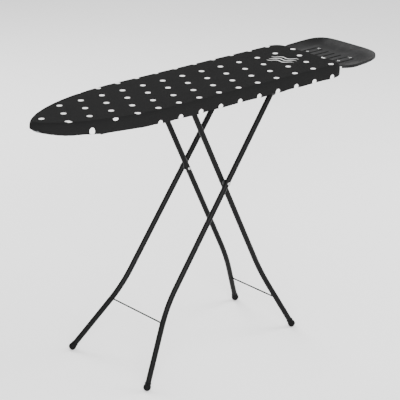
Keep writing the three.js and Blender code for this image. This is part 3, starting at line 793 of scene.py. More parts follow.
def side_point(share, inset):
    """Points of the outline's left side, from the nose (0) to the middle of the wide end (1)."""
    half = HALF_WIDTH - inset
    corner = CORNER_R - inset
    phi = np.clip(share / NOSE_SHARE, 0, 1) * math.pi / 2
    x = NOSE_X + inset + (NOSE_LENGTH - inset) * (1 - np.cos(phi))
    y = half * np.sin(phi) ** NOSE_FULLNESS
    straight = np.clip((share - NOSE_SHARE) / (SIDE_SHARE - NOSE_SHARE), 0, 1)
    x = x + straight * (WIDE_X - CORNER_R - NOSE_X - NOSE_LENGTH)
    turn = np.clip((share - SIDE_SHARE) / (CORNER_SHARE - SIDE_SHARE), 0, 1) * math.pi / 2
    x = x + corner * np.sin(turn)
    y = y - corner * (1 - np.cos(turn))
    end = np.clip((share - CORNER_SHARE) / (1 - CORNER_SHARE), 0, 1)
    return x, y * (1 - end)


def outline_shares(count):
    """Evenly spaced places round the outline, as shares from -1 to 1 with the sign of their side."""
    fine = np.linspace(0, 1, 6001)
    x, y = side_point(fine, 0)
    run = np.concatenate([[0], np.cumsum(np.hypot(np.diff(x), np.diff(y)))])
    half = count // 2
    left = np.interp(np.linspace(0, run[-1], half + 1), run, fine)
    return np.concatenate([-left[::-1][:-1], left[:-1]]), 2 * run[-1]


def outline_ring(shares, inset, height):
    """Points round the outline at these shares, this far inside it and at this height."""
    x, y = side_point(np.abs(shares), inset)
    return np.column_stack([x, y * np.sign(shares), np.broadcast_to(height, x.shape)])


def ripple(turn, cycles, wander, phase):
    """An uneven wave round the outline that meets itself."""
    drift = wander * np.sin(5 * turn + 1.1 + phase) + 0.6 * wander * np.sin(11 * turn + 2.3 * phase)
    return np.sin(cycles * turn + drift + phase) * (0.72 + 0.28 * np.sin(7 * turn + phase))


class HemShape:
    """The skirt and gathered hem of the cover, round the outline."""

    NOSE_REACH, TIP_REACH = 0.34, 0.17          # shares of the outline, from the tip
    CORNER_PLACE, CORNER_REACH = 0.825, 0.07
    TIP_TIGHTER = 0.42                          # how much sharper the edge is at the tip
    TIP_BELLY, TIP_LIFT = 0.0042, 0.0085
    CURL_R, TIP_CURL = 0.004, 0.013             # turn from the skirt into the hem, and more at the tip

    def __init__(self, count):
        self.shares, perimeter = outline_shares(count)
        share = np.abs(self.shares)
        turn = np.arange(count) * 2 * math.pi / count
        nose = np.clip(1 - share / self.NOSE_REACH, 0, 1)
        corner = np.exp(-((share - self.CORNER_PLACE) / self.CORNER_REACH) ** 2)
        self.fullness = np.clip(0.16 + 0.95 * np.sqrt(nose) + corner, 0, 1.1)
        slow = 0.0011 * (1 + ripple(turn, 23, 1.2, 0.4))
        tip = np.exp(-(share / self.TIP_REACH) ** 2)
        self.edge = COVER_EDGE[0] * (1 - self.TIP_TIGHTER * tip)
        self.fullest = self.TIP_BELLY * tip
        self.bottom = HEM_Z + 0.0006 + slow + self.TIP_LIFT * tip
        self.curl_r = self.CURL_R + self.TIP_CURL * tip
        self.folds = ripple(turn, round(perimeter / FOLD_PITCH), 2.2, 1.7)
        self.puckers = ripple(turn, round(perimeter / PUCKER_PITCH), 1.8, 0.9)
        self.depth = bpy.context.scene.board_cover.gather_depth

    def hem_height(self, inward):
        """Height of the hem's lower layer, where inward runs from 0 at the skirt to 1 at the casing."""
        lift = 0.5 * (1 + self.folds) * self.depth * self.fullness
        return self.bottom + lift * inward ** 1.4


def spine_rings(outer, shares):
    """Rings from the middle line of the board out to the outer ring."""
    reach = 0.11
    spine_x = np.clip(outer[:, 0], NOSE_X + reach, WIDE_X - reach)
    spine = np.column_stack([spine_x, np.zeros(len(shares)), outer[:, 2]])
    return [spine + (outer - spine) * t for t in np.linspace(0, 1, SPINE_RINGS + 1)[:-1]]


# ---------- cover, felt and elastic ----------

def cover_profile(hem):
    """Inset and height of each ring of the cover from the edge of its flat top to the end of its hem."""
    inward, downward = hem.edge, COVER_EDGE[1]
    pucker_depth, pucker_middle, lean, casing_fall = 0.0009, 0.35, 0.0014, 0.0012
    profile = []
    for i in range(11):
        angle = math.pi / 2 * i / 10
        belly = hem.fullest * math.sin(math.pi * 0.06 * i)
        profile.append((inward * (1 - math.sin(angle)) - belly, TOP_Z - downward * (1 - math.cos(angle))))
    skirt_top, skirt_low = TOP_Z - downward, hem.bottom + hem.curl_r
    for i in range(1, 9):
        down = i / 8
        slack = pucker_depth * down ** 1.5 * hem.fullness * (hem.puckers + pucker_middle)
        belly = hem.fullest * math.sin(math.pi * (0.6 + 0.4 * min(1, 1.5 * down)))
        profile.append((lean * down - slack - belly, skirt_top + (skirt_low - skirt_top) * down))
    skirt_inset = profile[-1][0]
    for i in range(1, 8):
        angle = math.pi / 2 * i / 7
        profile.append((skirt_inset + hem.curl_r * (1 - math.cos(angle)),
                        hem.bottom + hem.curl_r * (1 - math.sin(angle))))
    curl_inset = profile[-1][0]
    reach = bpy.context.scene.board_cover.hem_width - CASING_R
    for i in range(1, 10):
        under = i / 9
        profile.append((curl_inset + (reach - curl_inset) * under, hem.hem_height(under)))
    casing = hem.hem_height(1)
    for i in range(1, 7):
        angle = math.pi * i / 6
        profile.append((reach + CASING_R * math.sin(angle), casing + CASING_R * (1 - math.cos(angle))))
    for i in range(1, 5):
        back = i / 4
        profile.append((reach - CASING_DEPTH * back, casing + 2 * CASING_R - casing_fall * back))
    return profile


def make_cover():
    """The cotton cover: one sheet over the deck, down its edge and gathered underneath.

    Gives the piece, its hem, how much wider the flat cloth is on each side, and the cloth's area.
    """
    hem = HemShape(POINTS_AROUND["cover"])
    shares = hem.shares
    profile = cover_profile(hem)
    top = outline_ring(shares, hem.edge, TOP_Z)
    rings = spine_rings(top, shares)
    uneven, features = 0.0005, 14
    flat = [ring[:, :2] for ring in rings]
    for ring in rings:
        for point in ring:
            point[2] += uneven * noise.noise(Vector((point[0] * features, point[1] * features, 0.3)))
    rings += [outline_ring(shares, inset, height) for inset, height in profile]
    flat += flat_rings(outline_ring(shares, 0, TOP_Z), profile, hem)
    piece = new_object("cotton_cover", np.concatenate(rings), joined_rings(rings, False))
    chart_cloth(piece, np.concatenate(flat))
    with reshaping(piece) as shape:
        bmesh.ops.remove_doubles(shape, verts=shape.verts, dist=MERGE)
        bmesh.ops.recalc_face_normals(shape, faces=shape.faces)
        if sum(f.normal.z * f.calc_area() for f in shape.faces) < 0:
            bmesh.ops.reverse_faces(shape, faces=shape.faces)
        area = sum(f.calc_area() for f in shape.faces)
    wall = piece.modifiers.new("cloth", "SOLIDIFY")
    wall.thickness = bpy.context.scene.board_cover.thickness
    wall.offset = -1
    wall.use_quality_normals = True
    keep_result(piece)
    settle(piece, "cover_cloth", "board", "cover", sharp=180)
    return piece, hem, turned_down(profile), area


def turned_down(profile):
    """How much wider the flat cloth is than the board, on each side."""
    steps = zip(profile, profile[1:])
    return sum(float(np.mean(np.hypot(b[0] - a[0], b[1] - a[1]))) for a, b in steps) - COVER_EDGE[0]


def flat_rings(edge, profile, hem):
    """Where the rings of the edge, skirt and hem lie in the flat cloth, which is pulled tight by the nose."""
    tight_place, tight_reach, most_pull, pulled_width = -0.33, 0.08, 0.011, 0.042
    ahead = np.roll(edge, -1, axis=0) - np.roll(edge, 1, axis=0)
    outward = np.column_stack([ahead[:, 1], -ahead[:, 0]])
    outward /= np.linalg.norm(outward, axis=1)[:, None]
    if np.sum(outward * edge[:, :2]) < 0:
        outward = -outward
    tight = np.exp(-((hem.shares - tight_place) / tight_reach) ** 2)
    run = -hem.edge
    rings = [edge[:, :2] + outward * run[:, None]]
    for before, after in zip(profile, profile[1:]):
        run = run + np.hypot(after[0] - before[0], after[1] - before[1])
        pull = most_pull * tight * np.sin(math.pi * np.clip((run + hem.edge) / pulled_width, 0, 1))
        rings.append(edge[:, :2] + outward * (run + pull)[:, None])
    return rings


def ramp(value, start, reach):
    """0 at start, 1 past the reach, even between them."""
    return np.clip((value - start) / reach, 0, 1)


def eased(share):
    return share ** 2 * (3 - 2 * share)


def chart_cloth(piece, flat):
    """Gives the cover its flat chart, in metres, with the print pulled a little at both edges."""
    pull_left, nose_left, pull_right, pull_along = 0.0135, 0.003, 0.018, 0.0225
    along, across = flat[:, 0], flat[:, 1]
    left = eased(ramp(across, 0.085, 0.05))
    right = eased(ramp(-across, 0.150, 0.03))
    past_nose, past_taper = ramp(along, -0.55, 0.2), ramp(along, -0.30, 0.2)
    slant = PRINT_SKEW * (PRINT_PIVOT_X - along)
    pulled = across - (pull_left * past_taper - nose_left) * left + (slant - pull_right) * right
    flat = np.column_stack([along - pull_along * right * past_nose, pulled])
    chart = piece.data.uv_layers.new(name="cloth")
    corners = np.zeros(len(piece.data.loops), int)
    piece.data.loops.foreach_get("vertex_index", corners)
    chart.data.foreach_set("uv", flat[corners].ravel())


def make_stitching(hem):
    """The row of stitches that closes the casing of the elastic."""
    look = bpy.context.scene.board_cover
    inset = look.hem_width - CASING_DEPTH
    ring = outline_ring(hem.shares, inset, hem.hem_height(0.72) - 0.0004)
    line = line_object("hem_stitching", ring, closed=True)
    half, shoulder, radius = 0.0014, 0.0011, 0.00034
    corners = [(0, -half), (radius, -shoulder), (radius, shoulder), (0, half)]
    thread = turned("stitch", bend_corners(corners, 0.0004, 1), 6)
    thread.data.transform(Matrix.Rotation(math.pi / 2, 4, "Y"))
    stitch_tree().grow(line, part=thread, spacing=look.stitch_spacing, finish=FINISHES["elastic"])
    discard(thread)
    return settle(line, "elastic", "board")


def make_elastic(hem):
    """The flat elastic inside the casing, gathered with the hem."""
    look = bpy.context.scene.board_cover
    middle = look.hem_width - 0.0052
    half_width, half_thick = 0.0021, 0.0005
    height = hem.hem_height(0.95) + 0.0022
    section = []
    for angle in around(12):
        across = half_width * math.copysign(abs(math.cos(angle)) ** 0.5, math.cos(angle))
        up = half_thick * math.copysign(abs(math.sin(angle)) ** 0.5, math.sin(angle))
        section.append(outline_ring(hem.shares, middle + across, height + up))
    piece = new_object("hem_elastic_band", np.concatenate(section), joined_rings(section, True))
    close_up(piece)
    return settle(piece, "elastic", "board", "hem_elastic", sharp=180)


def make_felt():
    """The felt underlay: soft, a little uneven, rounded over the edge of the deck."""
    shares = outline_shares(POINTS_AROUND["felt"])[0]
    low, high = FELT_LOW.z, FELT_HIGH.z
    inward, downward = COVER_EDGE
    round_over, clear, lowest_inset, lowest_rise = math.radians(52), 0.0004, 0.0012, 0.0006
    uneven, features = 0.0003, 30
    room = TOP_Z - high
    top = outline_ring(shares, inward, high)
    rings = spine_rings(top, shares)
    for i in range(9):
        angle = round_over * i / 8
        normal = Vector((downward * math.sin(angle), inward * math.cos(angle))).normalized()
        inset = inward * (1 - math.sin(angle)) + room * normal.x
        height = TOP_Z - downward * (1 - math.cos(angle)) - room * normal.y
        rings.append(outline_ring(shares, inset + clear, max(height, low + lowest_rise)))
    rings.append(outline_ring(shares, inset + lowest_inset, low))
    bottom = outline_ring(shares, inward, low)
    rings += [bottom] + spine_rings(bottom, shares)[::-1]
    for ring in rings[:SPINE_RINGS]:
        for point in ring:
            point[2] -= uneven * abs(noise.noise(Vector((point[0] * features, point[1] * features, 4.1))))
    piece = new_object("felt_underlay", np.concatenate(rings), joined_rings(rings, False))
    close_up(piece)
    settle(piece, "felt", "board", "felt_pad", sharp=60)
    return piece


# ---------- deck ----------

def make_deck():
    """The expanded steel deck: flat strands that meet in diamonds."""
    metal = bpy.context.scene.board_metal
    pitch_x, pitch_y = metal.mesh_pitch
    steel = DECK_HIGH.z - DECK_LOW.z
    half_width = 0.0009
    points, faces = [], []
    for way in (1, -1):
        run = Vector((pitch_x / 2, way * pitch_y / 2, 0))
        side = Vector((-run.y, run.x, 0)).normalized() * half_width
        start = len(points)
        for end in (Vector(), run):
            for across, up in ((1, 0), (-1, 0), (-1, 1), (1, 1)):
                points.append(end + side * across + Vector((0, 0, up * steel)))
        ends = [(start + 3, start + 2, start + 1, start), (start + 4, start + 5, start + 6, start + 7)]
        walls = [(start + k, start + (k + 1) % 4, start + 4 + (k + 1) % 4, start + 4 + k) for k in range(4)]
        faces += ends + walls
    strands = close_up(new_object("strands", points, faces))
    deck_inset = 0.016
    ring = outline_ring(outline_shares(POINTS_AROUND["deck"])[0], deck_inset, 0)
    base = new_object("expanded_deck", ring, [range(len(ring))])
    diamond_mesh_tree().grow(
        base, part=strands, pitch_x=pitch_x, pitch_y=pitch_y,
        columns=round(1.4 / pitch_x), rows=2 * round(0.36 / pitch_y) + 1, finish=FINISHES["deck_steel"])
    discard(strands)
    base.data.transform(Matrix.Translation((0, 0, DECK_LOW.z)))
    return settle(base, "deck_steel", "board", "deck_mesh")


def make_rim():
    """The rolled steel edge under the deck, open towards the middle."""
    shares = outline_shares(POINTS_AROUND["rim"])[0]
    outer, inner = RIM_INSET
    low, high = RIM_LOW.z, RIM_HIGH.z
    skin = RIM_STEEL
    outside = bend_corners([(inner, high), (outer, high), (outer, low), (inner, low)], RIM_EDGE_R, 6)
    inside = bend_corners([(inner, low + skin), (outer + skin, low + skin), (outer + skin, high - skin),
                           (inner, high - skin)], RIM_EDGE_R - skin, 6)
    rings = [outline_ring(shares, inset, height) for inset, height in outside + inside]
    piece = new_object("rolled_rim", np.concatenate(rings), joined_rings(rings, True))
    close_up(piece)
    return settle(piece, "deck_steel", "board", "deck_rim", sharp=50)


def make_pressed_steel():
    """Channels, rails, brackets, rack and straps with rounded edges, and the rivets that hold them."""
    metal = bpy.context.scene.board_metal
    channels = [f"cross_channel_{place}" for place in ("nose", "slide", "hinge", "rest")]
    sided = [f"{part}_{side}" for part in ("slide_rail", "hinge_bracket") for side in SIDES]
    for node in channels + sided:
        pressed(node, "deck_steel", metal.edge_rounding)
    pressed("height_rack", "zinc_steel", metal.edge_rounding)
    for side in SIDES:
        pressed(f"rest_strap_{side}", "frame_steel", 0.0009)
    make_deck_rivets()


def make_deck_rivets():
    """Domed rivets under the flanges that hang from the channels."""
    places = []
    for side in SIDES.values():
        for node in ("cross_channel_nose", "cross_channel_slide"):
            places += [(centre(node).x + step, side * 0.0625) for step in (-0.007, 0.007)]
        places += [(BAR["outer"].x + step, side * 0.0615) for step in (-0.008, 0.008)]
        places += [(centre("cross_channel_rest").x, side * STRAP_Y + step) for step in (-0.006, 0.006)]
    flange, strap, flanges_end = 0.0025, 0.003, 0.066
    heights = [HANGER_Z - (strap if abs(y) > flanges_end else flange) for x, y in places]
    points = [(x, y, z) for (x, y), z in zip(places, heights)]
    head = bend_corners([(0, -0.0005), (0.0034, -0.0005), (0.0033, 0.0008), (0, 0.0019)], 0.0016, 4)
    part = turned("rivet_head", head, 20)
    part.data.shade_smooth()
    rivets = point_object("deck_rivets", points, [(0, 0, -1)] * len(points))
    fastener_tree().grow(rivets, part=part, finish=FINISHES["bright_steel"])
    discard(part)
    return settle(rivets, "bright_steel", "board", sharp=50)


# ---------- crossed frames ----------

def leg_x(kind, height):
    """Where a frame's tubes stand along the board at a height."""
    bar = BAR[kind]
    return PIVOT.x + (bar.x - PIVOT.x) * (height - PIVOT.z) / (bar.z - PIVOT.z)


def leg_y(kind, height):
    """How far a leg stands from the middle at a height."""
    leg = LEGS[kind]
    if height > leg["bend_z"]:
        up = (height - leg["bend_z"]) / (BAR[kind].z - leg["bend_z"])
        return leg["bend_y"] + (leg["top_y"] - leg["bend_y"]) * up
    return leg["foot_y"] + (leg["bend_y"] - leg["foot_y"]) * height / leg["bend_z"]


def leg_point(kind, side, height):
    """Middle of a leg at a height."""
    return Vector((leg_x(kind, height), side * leg_y(kind, height), height))


def leg_path(kind, side):
    """The line of a leg: straight, one long bend, straight into its foot."""
    top = leg_point(kind, side, BAR[kind].z)
    bend = leg_point(kind, side, LEGS[kind]["bend_z"])
    end = leg_point(kind, side, LEG_END_Z)
    start = bend + (top - bend).normalized() * BEND_REACH
    finish = bend + (end - bend).normalized() * BEND_REACH
    top = top + (start - top).normalized() * 0.0015
    line = [top.lerp(start, i / 6) for i in range(6)] + curved(start, bend, finish, 24)
    return line + [finish.lerp(end, i / 3) for i in range(1, 4)]


def saddle_line(kind, side):
    """Where the leg's surface meets the top bar's."""
    bar_point = leg_point(kind, side, BAR[kind].z)
    down = (leg_point(kind, side, LEGS[kind]["bend_z"]) - bar_point).normalized()
    across = Vector((0, 1, 0))
    across = (across - down * across.dot(down)).normalized()
    third = down.cross(across)
    line = []
    for angle in around(48):
        start = (across * math.cos(angle) + third * math.sin(angle)) * TUBE_R
        a = down.x ** 2 + down.z ** 2
        b = 2 * (start.x * down.x + start.z * down.z)
        c = start.x ** 2 + start.z ** 2 - (TUBE_R + 0.0002) ** 2
        run = (-b + math.sqrt(max(0, b * b - 4 * a * c))) / (2 * a)
        line.append(bar_point + start + down * run)
    return line


def make_tube(node, piece_name, line, body, radius, sides):
    """A painted tube or wire along a line, in place of its frame node."""
    piece = line_object(piece_name, line)
    path_tube_tree().grow(piece, radius=radius, sides=sides, finish=FINISHES["frame_steel"])
    return settle(piece, "frame_steel", body, node, sharp=50)


def make_welds(name, lines, body, radius, ripple_length, seed):
    """Painted weld beads along closed lines."""
    welds = line_object(name, *lines, closed=True)
    weld_bead_tree().grow(welds, radius=radius, ripple=ripple_length, seed=seed,
                          finish=FINISHES["frame_steel"])
    return settle(welds, "frame_steel", body, sharp=60)


def make_frames():
    """Legs, top bars, braces and welds of both frames."""
    metal = bpy.context.scene.board_metal
    for number, kind in enumerate(LEGS):
        body, bar = f"{kind}_frame", BAR[kind]
        for name, side in SIDES.items():
            leg = f"{kind}_leg_{name}"
            make_tube(leg, f"{leg}_tube", leg_path(kind, side), body, TUBE_R, metal.tube_sides)
        low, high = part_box(f"{kind}_top_bar")
        line = [(bar.x, low.y + (high.y - low.y) * i / 8, bar.z) for i in range(9)]
        make_tube(f"{kind}_top_bar", f"{kind}_top_bar_tube", line, body, TUBE_R, metal.tube_sides)
        low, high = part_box(f"{kind}_brace")
        height = LEGS[kind]["brace_z"]
        x, collar_r = leg_x(kind, height), BRACE_R + 0.0003
        line = [(x, low.y + (high.y - low.y) * i / 6, height) for i in range(7)]
        make_tube(f"{kind}_brace", f"{kind}_brace_wire", line, body, BRACE_R, 20)
        saddles = [saddle_line(kind, side) for side in SIDES.values()]
        make_welds(f"{kind}_bar_welds", saddles, body, metal.bead_radius, BAR_WELD_RIPPLE, number)
        collars = [[(x + collar_r * math.cos(a), end, height + collar_r * math.sin(a)) for a in around(16)]
                   for end in (low.y, high.y)]
        make_welds(f"{kind}_brace_welds", collars, body, BRACE_WELD_R, BRACE_WELD_RIPPLE,
                   number + BRACE_WELD_SEED)


def make_feet():
    """Rubber caps with a ball end that rests on the floor."""
    bore, seat = TUBE_R + 0.0001, 0.0180
    for kind in LEGS:
        for name, side in SIDES.items():
            floor = leg_point(kind, side, 0)
            up = (leg_point(kind, side, LEG_END_Z) - floor).normalized()
            ball_z = FOOT_R / up.z - 0.0005
            turns = np.linspace(-math.pi / 2, 0, 13)
            ball = [(FOOT_R * math.cos(a), ball_z + FOOT_R * math.sin(a)) for a in turns]
            corners = [
                (FOOT_R - 0.0004, ball_z + 0.0035), (FOOT_R - 0.0022, 0.0235), (FOOT_R - 0.0024, 0.0262),
                (FOOT_R - 0.0014, 0.0270), (FOOT_R - 0.0014, 0.0288), (FOOT_R - 0.0021, FOOT_HEIGHT),
                (bore, FOOT_HEIGHT), (bore, seat), (0, seat)]
            profile = ball[:-1] + bend_corners(ball[-1:] + corners, 0.0008, 3)
            cap = turned(f"{kind}_foot_{name}_cap", profile, 56)
            turn = Vector((0, 0, 1)).rotation_difference(up).to_matrix().to_4x4()
            cap.data.transform(Matrix.Translation(floor) @ turn)
            cut_at_floor(cap)
            settle(cap, "foot_rubber", f"{kind}_frame", f"{kind}_foot_{name}", sharp=55)


def cut_at_floor(cap):
    """Takes off what lies under the floor and closes the cut."""
    with reshaping(cap) as shape:
        parts = shape.verts[:] + shape.edges[:] + shape.faces[:]
        cut = bmesh.ops.bisect_plane(
            shape, geom=parts, plane_co=(0, 0, 0), plane_no=(0, 0, -1), clear_outer=True)
        rim = [e for e in cut["geom_cut"] if isinstance(e, bmesh.types.BMEdge)]
        bmesh.ops.contextual_create(shape, geom=rim)
        bmesh.ops.recalc_face_normals(shape, faces=shape.faces)


def fasten(name, part_name, profile, points, aims, slot, body, nodes):
    """One piece made of a turned part on each of the points."""
    part = turned(part_name, profile)
    piece = point_object(name, points, aims)
    fastener_tree().grow(piece, part=part, finish=FINISHES[slot])
    discard(part)
    return settle(piece, slot, body, *nodes, sharp=45)


def make_pivots():
    """The two bright rivets that the frames turn on, their spacers, and the plugs of the top bars."""
    inner, outer = leg_y("inner", PIVOT.z), leg_y("outer", PIVOT.z)
    near, far = inner - TUBE_R, outer + TUBE_R
    rise = 0.0036
    dome = [(RIVET_HEAD_R * math.sin(a), rise * math.cos(a)) for a in np.linspace(0, math.pi / 2, 9)]
    profile = [(r, near - z) for r, z in dome]
    profile += [(RIVET_HEAD_R, near + 0.0008), (RIVET_R, near + 0.0010), (RIVET_R, far - 0.0010),
                (RIVET_HEAD_R, far - 0.0008)]
    profile += [(r, far + z) for r, z in dome[::-1]]
    middle = [(PIVOT.x, 0, PIVOT.z)] * 2
    aims = [(0, side, 0) for side in SIDES.values()]
    fasten("pivot_rivets", "rivet", profile, middle, aims, "bright_steel", "outer_frame",
           ["pivot_rivet_left", "pivot_rivet_right"])
    make_spacers(inner + TUBE_R + 0.0003, outer - TUBE_R - 0.0003)
    for kind in LEGS:
        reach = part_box(f"{kind}_top_bar")[1].y
        stem = TUBE_R - 0.0015
        corners = [(0, -0.012), (stem, -0.012), (stem, 0.0002), (TUBE_R - 0.0001, 0.0002),
                   (TUBE_R - 0.0001, 0.0012), (TUBE_R - 0.0014, 0.0020), (0, 0.0022)]
        points = [(BAR[kind].x, side * reach, BAR[kind].z) for side in SIDES.values()]
        fasten(f"{kind}_bar_plugs", "plug", bend_corners(corners, 0.0006, 3), points, aims, "black_nylon",
               f"{kind}_frame", [f"{kind}_bar_plug_left", f"{kind}_bar_plug_right"])


def make_spacers(start, end):
    """The two spacers between the crossing tubes."""
    bore = 0.0043
    corners = [(bore, start), (SPACER_R, start), (SPACER_R, end), (bore, end)]
    loop = bend_corners(corners + corners[:1], 0.0007, 3)[1:-1]
    rings = [[(radius * math.cos(a), radius * math.sin(a), along) for a in around(40)]
             for radius, along in loop]
    part = close_up(new_object("ring", np.concatenate(rings), joined_rings(rings, True)))
    piece = point_object("pivot_spacers", [(PIVOT.x, 0, PIVOT.z)] * 2, [(0, s, 0) for s in SIDES.values()])
    fastener_tree().grow(piece, part=part, finish=FINISHES["black_nylon"])
    discard(part)
    return settle(piece, "black_nylon", "outer_frame", "pivot_spacer_left", "pivot_spacer_right", sharp=45)


# ---------- slide and height latch ----------

def make_latch():
    """Shoes, saddle, pawl and lever with rounded edges, the turned pin, the coiled spring and the grip."""
    for side in SIDES:
        pressed(f"slide_shoe_{side}", "black_nylon", 0.0008)
    pressed("latch_saddle", "black_nylon", 0.0010)
    pressed("height_lever", "zinc_steel", 0.0006)
    pressed("rack_pawl", "zinc_steel", 0.0005)
    make_lever_pin()
    make_lever_spring()
    make_lever_grip()


def make_lever_pin():
    low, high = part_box("lever_pin")
    head, shank = (high.x - low.x) / 2, 0.004
    corners = [(0, low.z), (head, low.z), (head, low.z + 0.0025), (shank, low.z + 0.0025),
               (shank, high.z - 0.002), (head, high.z - 0.002), (head, high.z), (0, high.z)]
    pin = turned("lever_pin_turned", bend_corners(corners, 0.0005, 3), 36)
    pin.data.transform(Matrix.Translation((LEVER_PIN.x, LEVER_PIN.y, 0)))
    return settle(pin, "bright_steel", "height_lever", "lever_pin", sharp=45)


def make_lever_spring():
    low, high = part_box("lever_spring")
    wire = 0.0008
    radius = (high.y - low.y) / 2 - wire
    turns = 4
    steps = turns * 28
    top, fall = high.z - wire, high.z - low.z - 2 * wire
    line = []
    for i in range(steps + 1):
        angle = 2 * math.pi * turns * i / steps
        line.append((LEVER_PIN.x + radius * math.cos(angle), LEVER_PIN.y + radius * math.sin(angle),
                     top - fall * i / steps))
    spring = line_object("lever_spring_wire", line)
    path_tube_tree().grow(spring, radius=wire, sides=12, finish=FINISHES["bright_steel"])
    return settle(spring, "bright_steel", "slider", "lever_spring", sharp=50)


def make_lever_grip():
    """Moulded grip with shallow finger rings."""
    low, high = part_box("lever_grip")
    middle = (low + high) / 2
    radius = (high.z - low.z) / 2
    half = (high.y - low.y) / 2
    profile = [(0, -half)]
    for i in range(1, 48):
        along = -half + 2 * half * i / 48
        shrink = math.sqrt(max(0, 1 - max(0, (abs(along) - half + radius) / radius) ** 2))
        groove = 0.0006 * max(0, math.cos(2 * math.pi * along / 0.006)) * (abs(along) < half - radius * 0.9)
        profile.append((radius * shrink - groove, along))
    profile.append((0, half))
    grip = turned("lever_grip_moulded", profile, 40)
    grip.data.transform(Matrix.Translation(middle) @ Matrix.Rotation(-math.pi / 2, 4, "X"))
    return settle(grip, "black_nylon", "height_lever", "lever_grip", sharp=60)


# ---------- iron rest ----------

def tray_point(share, angle):
    """A point of the dish, where share runs from its middle (0) to its rim (1)."""
    length = TRAY_HIGH.x - TRAY_LOW.x
    half_width = TRAY_HIGH.y
    floor = TRAY_LOW.z + TRAY_STEEL
    bow = 2 / TRAY_SHARPNESS
    forward = share * max(0, math.cos(angle)) ** bow
    sideways = math.copysign(share * abs(math.sin(angle)) ** bow, angle)
    edge = max(0, (share - TRAY_FLAT_SHARE) / (1 - TRAY_FLAT_SHARE))
    rise = (TRAY_SIDE_RISE + TRAY_END_RISE * forward ** 2) * edge ** 2
    tucked = max(0, 1 - length * forward / TRAY_TUCK_REACH) ** 2
    across = half_width * sideways * (1 - TRAY_TUCK_SHARE * tucked)
    return Vector((TRAY_LOW.x + length * forward, across, floor + rise))


def make_tray():
    """The dished rest: a grained floor, rising sides and a lip that turns down all round."""
    lip = [(0.0012, 0.0010), (0.0026, 0.0006), (0.0034, -0.0012), (0.0036, -0.0042), (0.0036, -0.0086)]
    shares = [0.02, 0.2, 0.4, 0.55, 0.65, 0.7, 0.74, 0.78, 0.82, 0.86, 0.9, 0.93, 0.96, 0.98]
    scale = 1 - lip[-1][0] / TRAY_HIGH.y
    rows = []
    for i in range(97):
        quarter = abs(i / 48 - 1)
        angle = math.copysign(quarter ** 2 * (3 - 2 * quarter), i - 48) * math.pi / 2
        row = [tray_point(s * scale, angle) for s in shares]
        row = [Vector((max(p.x, TRAY_LOW.x), p.y, p.z)) for p in row]
        rim = tray_point(scale, angle)
        beyond = tray_point(1, angle) - rim
        out = Vector((beyond.x, beyond.y, 0)).normalized()
        row.append(rim)
        row += [rim + out * reach + Vector((0, 0, rise)) for reach, rise in lip]
        rows.append(row)
    width = len(rows[0])
    faces = []
    for i in range(96):
        for k in range(width - 1):
            a = i * width + k
            faces.append((a, a + 1, a + width + 1, a + width))
    points = [p for row in rows for p in row]
    middle = len(points)
    points.append(Vector((TRAY_LOW.x, 0, rows[0][0].z)))
    faces += [(middle, i * width, (i + 1) * width) for i in range(96)]
    piece = new_object("iron_rest_dish", points, faces)
    close_up(piece, 1e-5)
    if sum(p.normal.z * p.area for p in piece.data.polygons) < 0:
        piece.data.flip_normals()
    wall = piece.modifiers.new("wall", "SOLIDIFY")
    wall.thickness = TRAY_STEEL
    wall.offset = -1
    edge = piece.modifiers.new("rounded", "BEVEL")
    edge.width = 0.0006
    edge.segments = 2
    edge.angle_limit = math.radians(50)
    keep_result(piece)
    return settle(piece, "tray_plastic", "board", "iron_rest_tray", sharp=60)


def make_rest_ribs():
    """Raised ribs that keep a hot iron off the floor of the dish."""
    floor = TRAY_LOW.z + TRAY_STEEL
    half, radius = 0.042, 0.0028
    corners = [(0, -half), (radius, -half + 0.003), (radius, half - 0.003), (0, half)]
    rib = turned("rib", bend_corners(corners, 0.003, 4), 20)
    rib.data.transform(Matrix.Diagonal((0.55, 1, 1, 1)))
    rib.data.shade_smooth()
    from_board, pitch, lift = 0.066, 0.03, 0.0002
    points = [(TRAY_LOW.x + from_board, pitch * i, floor + lift) for i in range(-3, 4)]
    ribs = point_object("iron_rest_ribs", points, [(1, 0, 0)] * len(points))
    fastener_tree().grow(ribs, part=rib, finish=FINISHES["foot_rubber"])
    discard(rib)
    return settle(ribs, "foot_rubber", "board", sharp=50)


def make_tray_screws():
    """Four pan-head screws with a cross recess."""
    nodes = [f"tray_screw_{side}_{i}" for side in SIDES for i in (1, 2)]
    low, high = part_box(nodes[0])
    head_r = (high.x - low.x) / 2
    seat = high.z - 0.0025
    corners = [(0, low.z - seat), (0.0018, low.z - seat + 0.0006), (0.002, 0), (head_r, 0),
               (head_r - 0.0002, 0.0012), (head_r * 0.6, 0.0022), (0, 0.0025)]
    screw = turned("screw", bend_corners(corners, 0.0008, 4), 32)
    cutter = new_object("cross", *cross_shape(0.0026, 0.00045, 0.0010, 0.0035))
    recess = screw.modifiers.new("recess", "BOOLEAN")
    recess.operation = "DIFFERENCE"
    recess.object = cutter
    recess.solver = "EXACT"
    keep_result(screw)
    points = [Vector((centre(node).x, centre(node).y, seat)) for node in nodes]
    piece = point_object("tray_screws", points, [(0, 0, 1)] * 4)
    fastener_tree().grow(piece, part=screw, finish=FINISHES["bright_steel"])
    discard(screw, cutter)
    return settle(piece, "bright_steel", "board", *nodes, sharp=40)


def cross_shape(reach, half, low, high):
    """Points and faces of an upright cross."""
    plan = [(half, half), (reach, half), (reach, -half), (half, -half), (half, -reach), (-half, -reach),
            (-half, -half), (-reach, -half), (-reach, half), (-half, half), (-half, reach), (half, reach)]
    points = [(x, y, z) for z in (low, high) for x, y in plan]
    count = len(plan)
    faces = [tuple(range(count)), tuple(range(2 * count - 1, count - 1, -1))]
    faces += [(k, k + count, (k + 1) % count + count, (k + 1) % count) for k in range(count)]
    return points, faces


# ---------- stage ----------

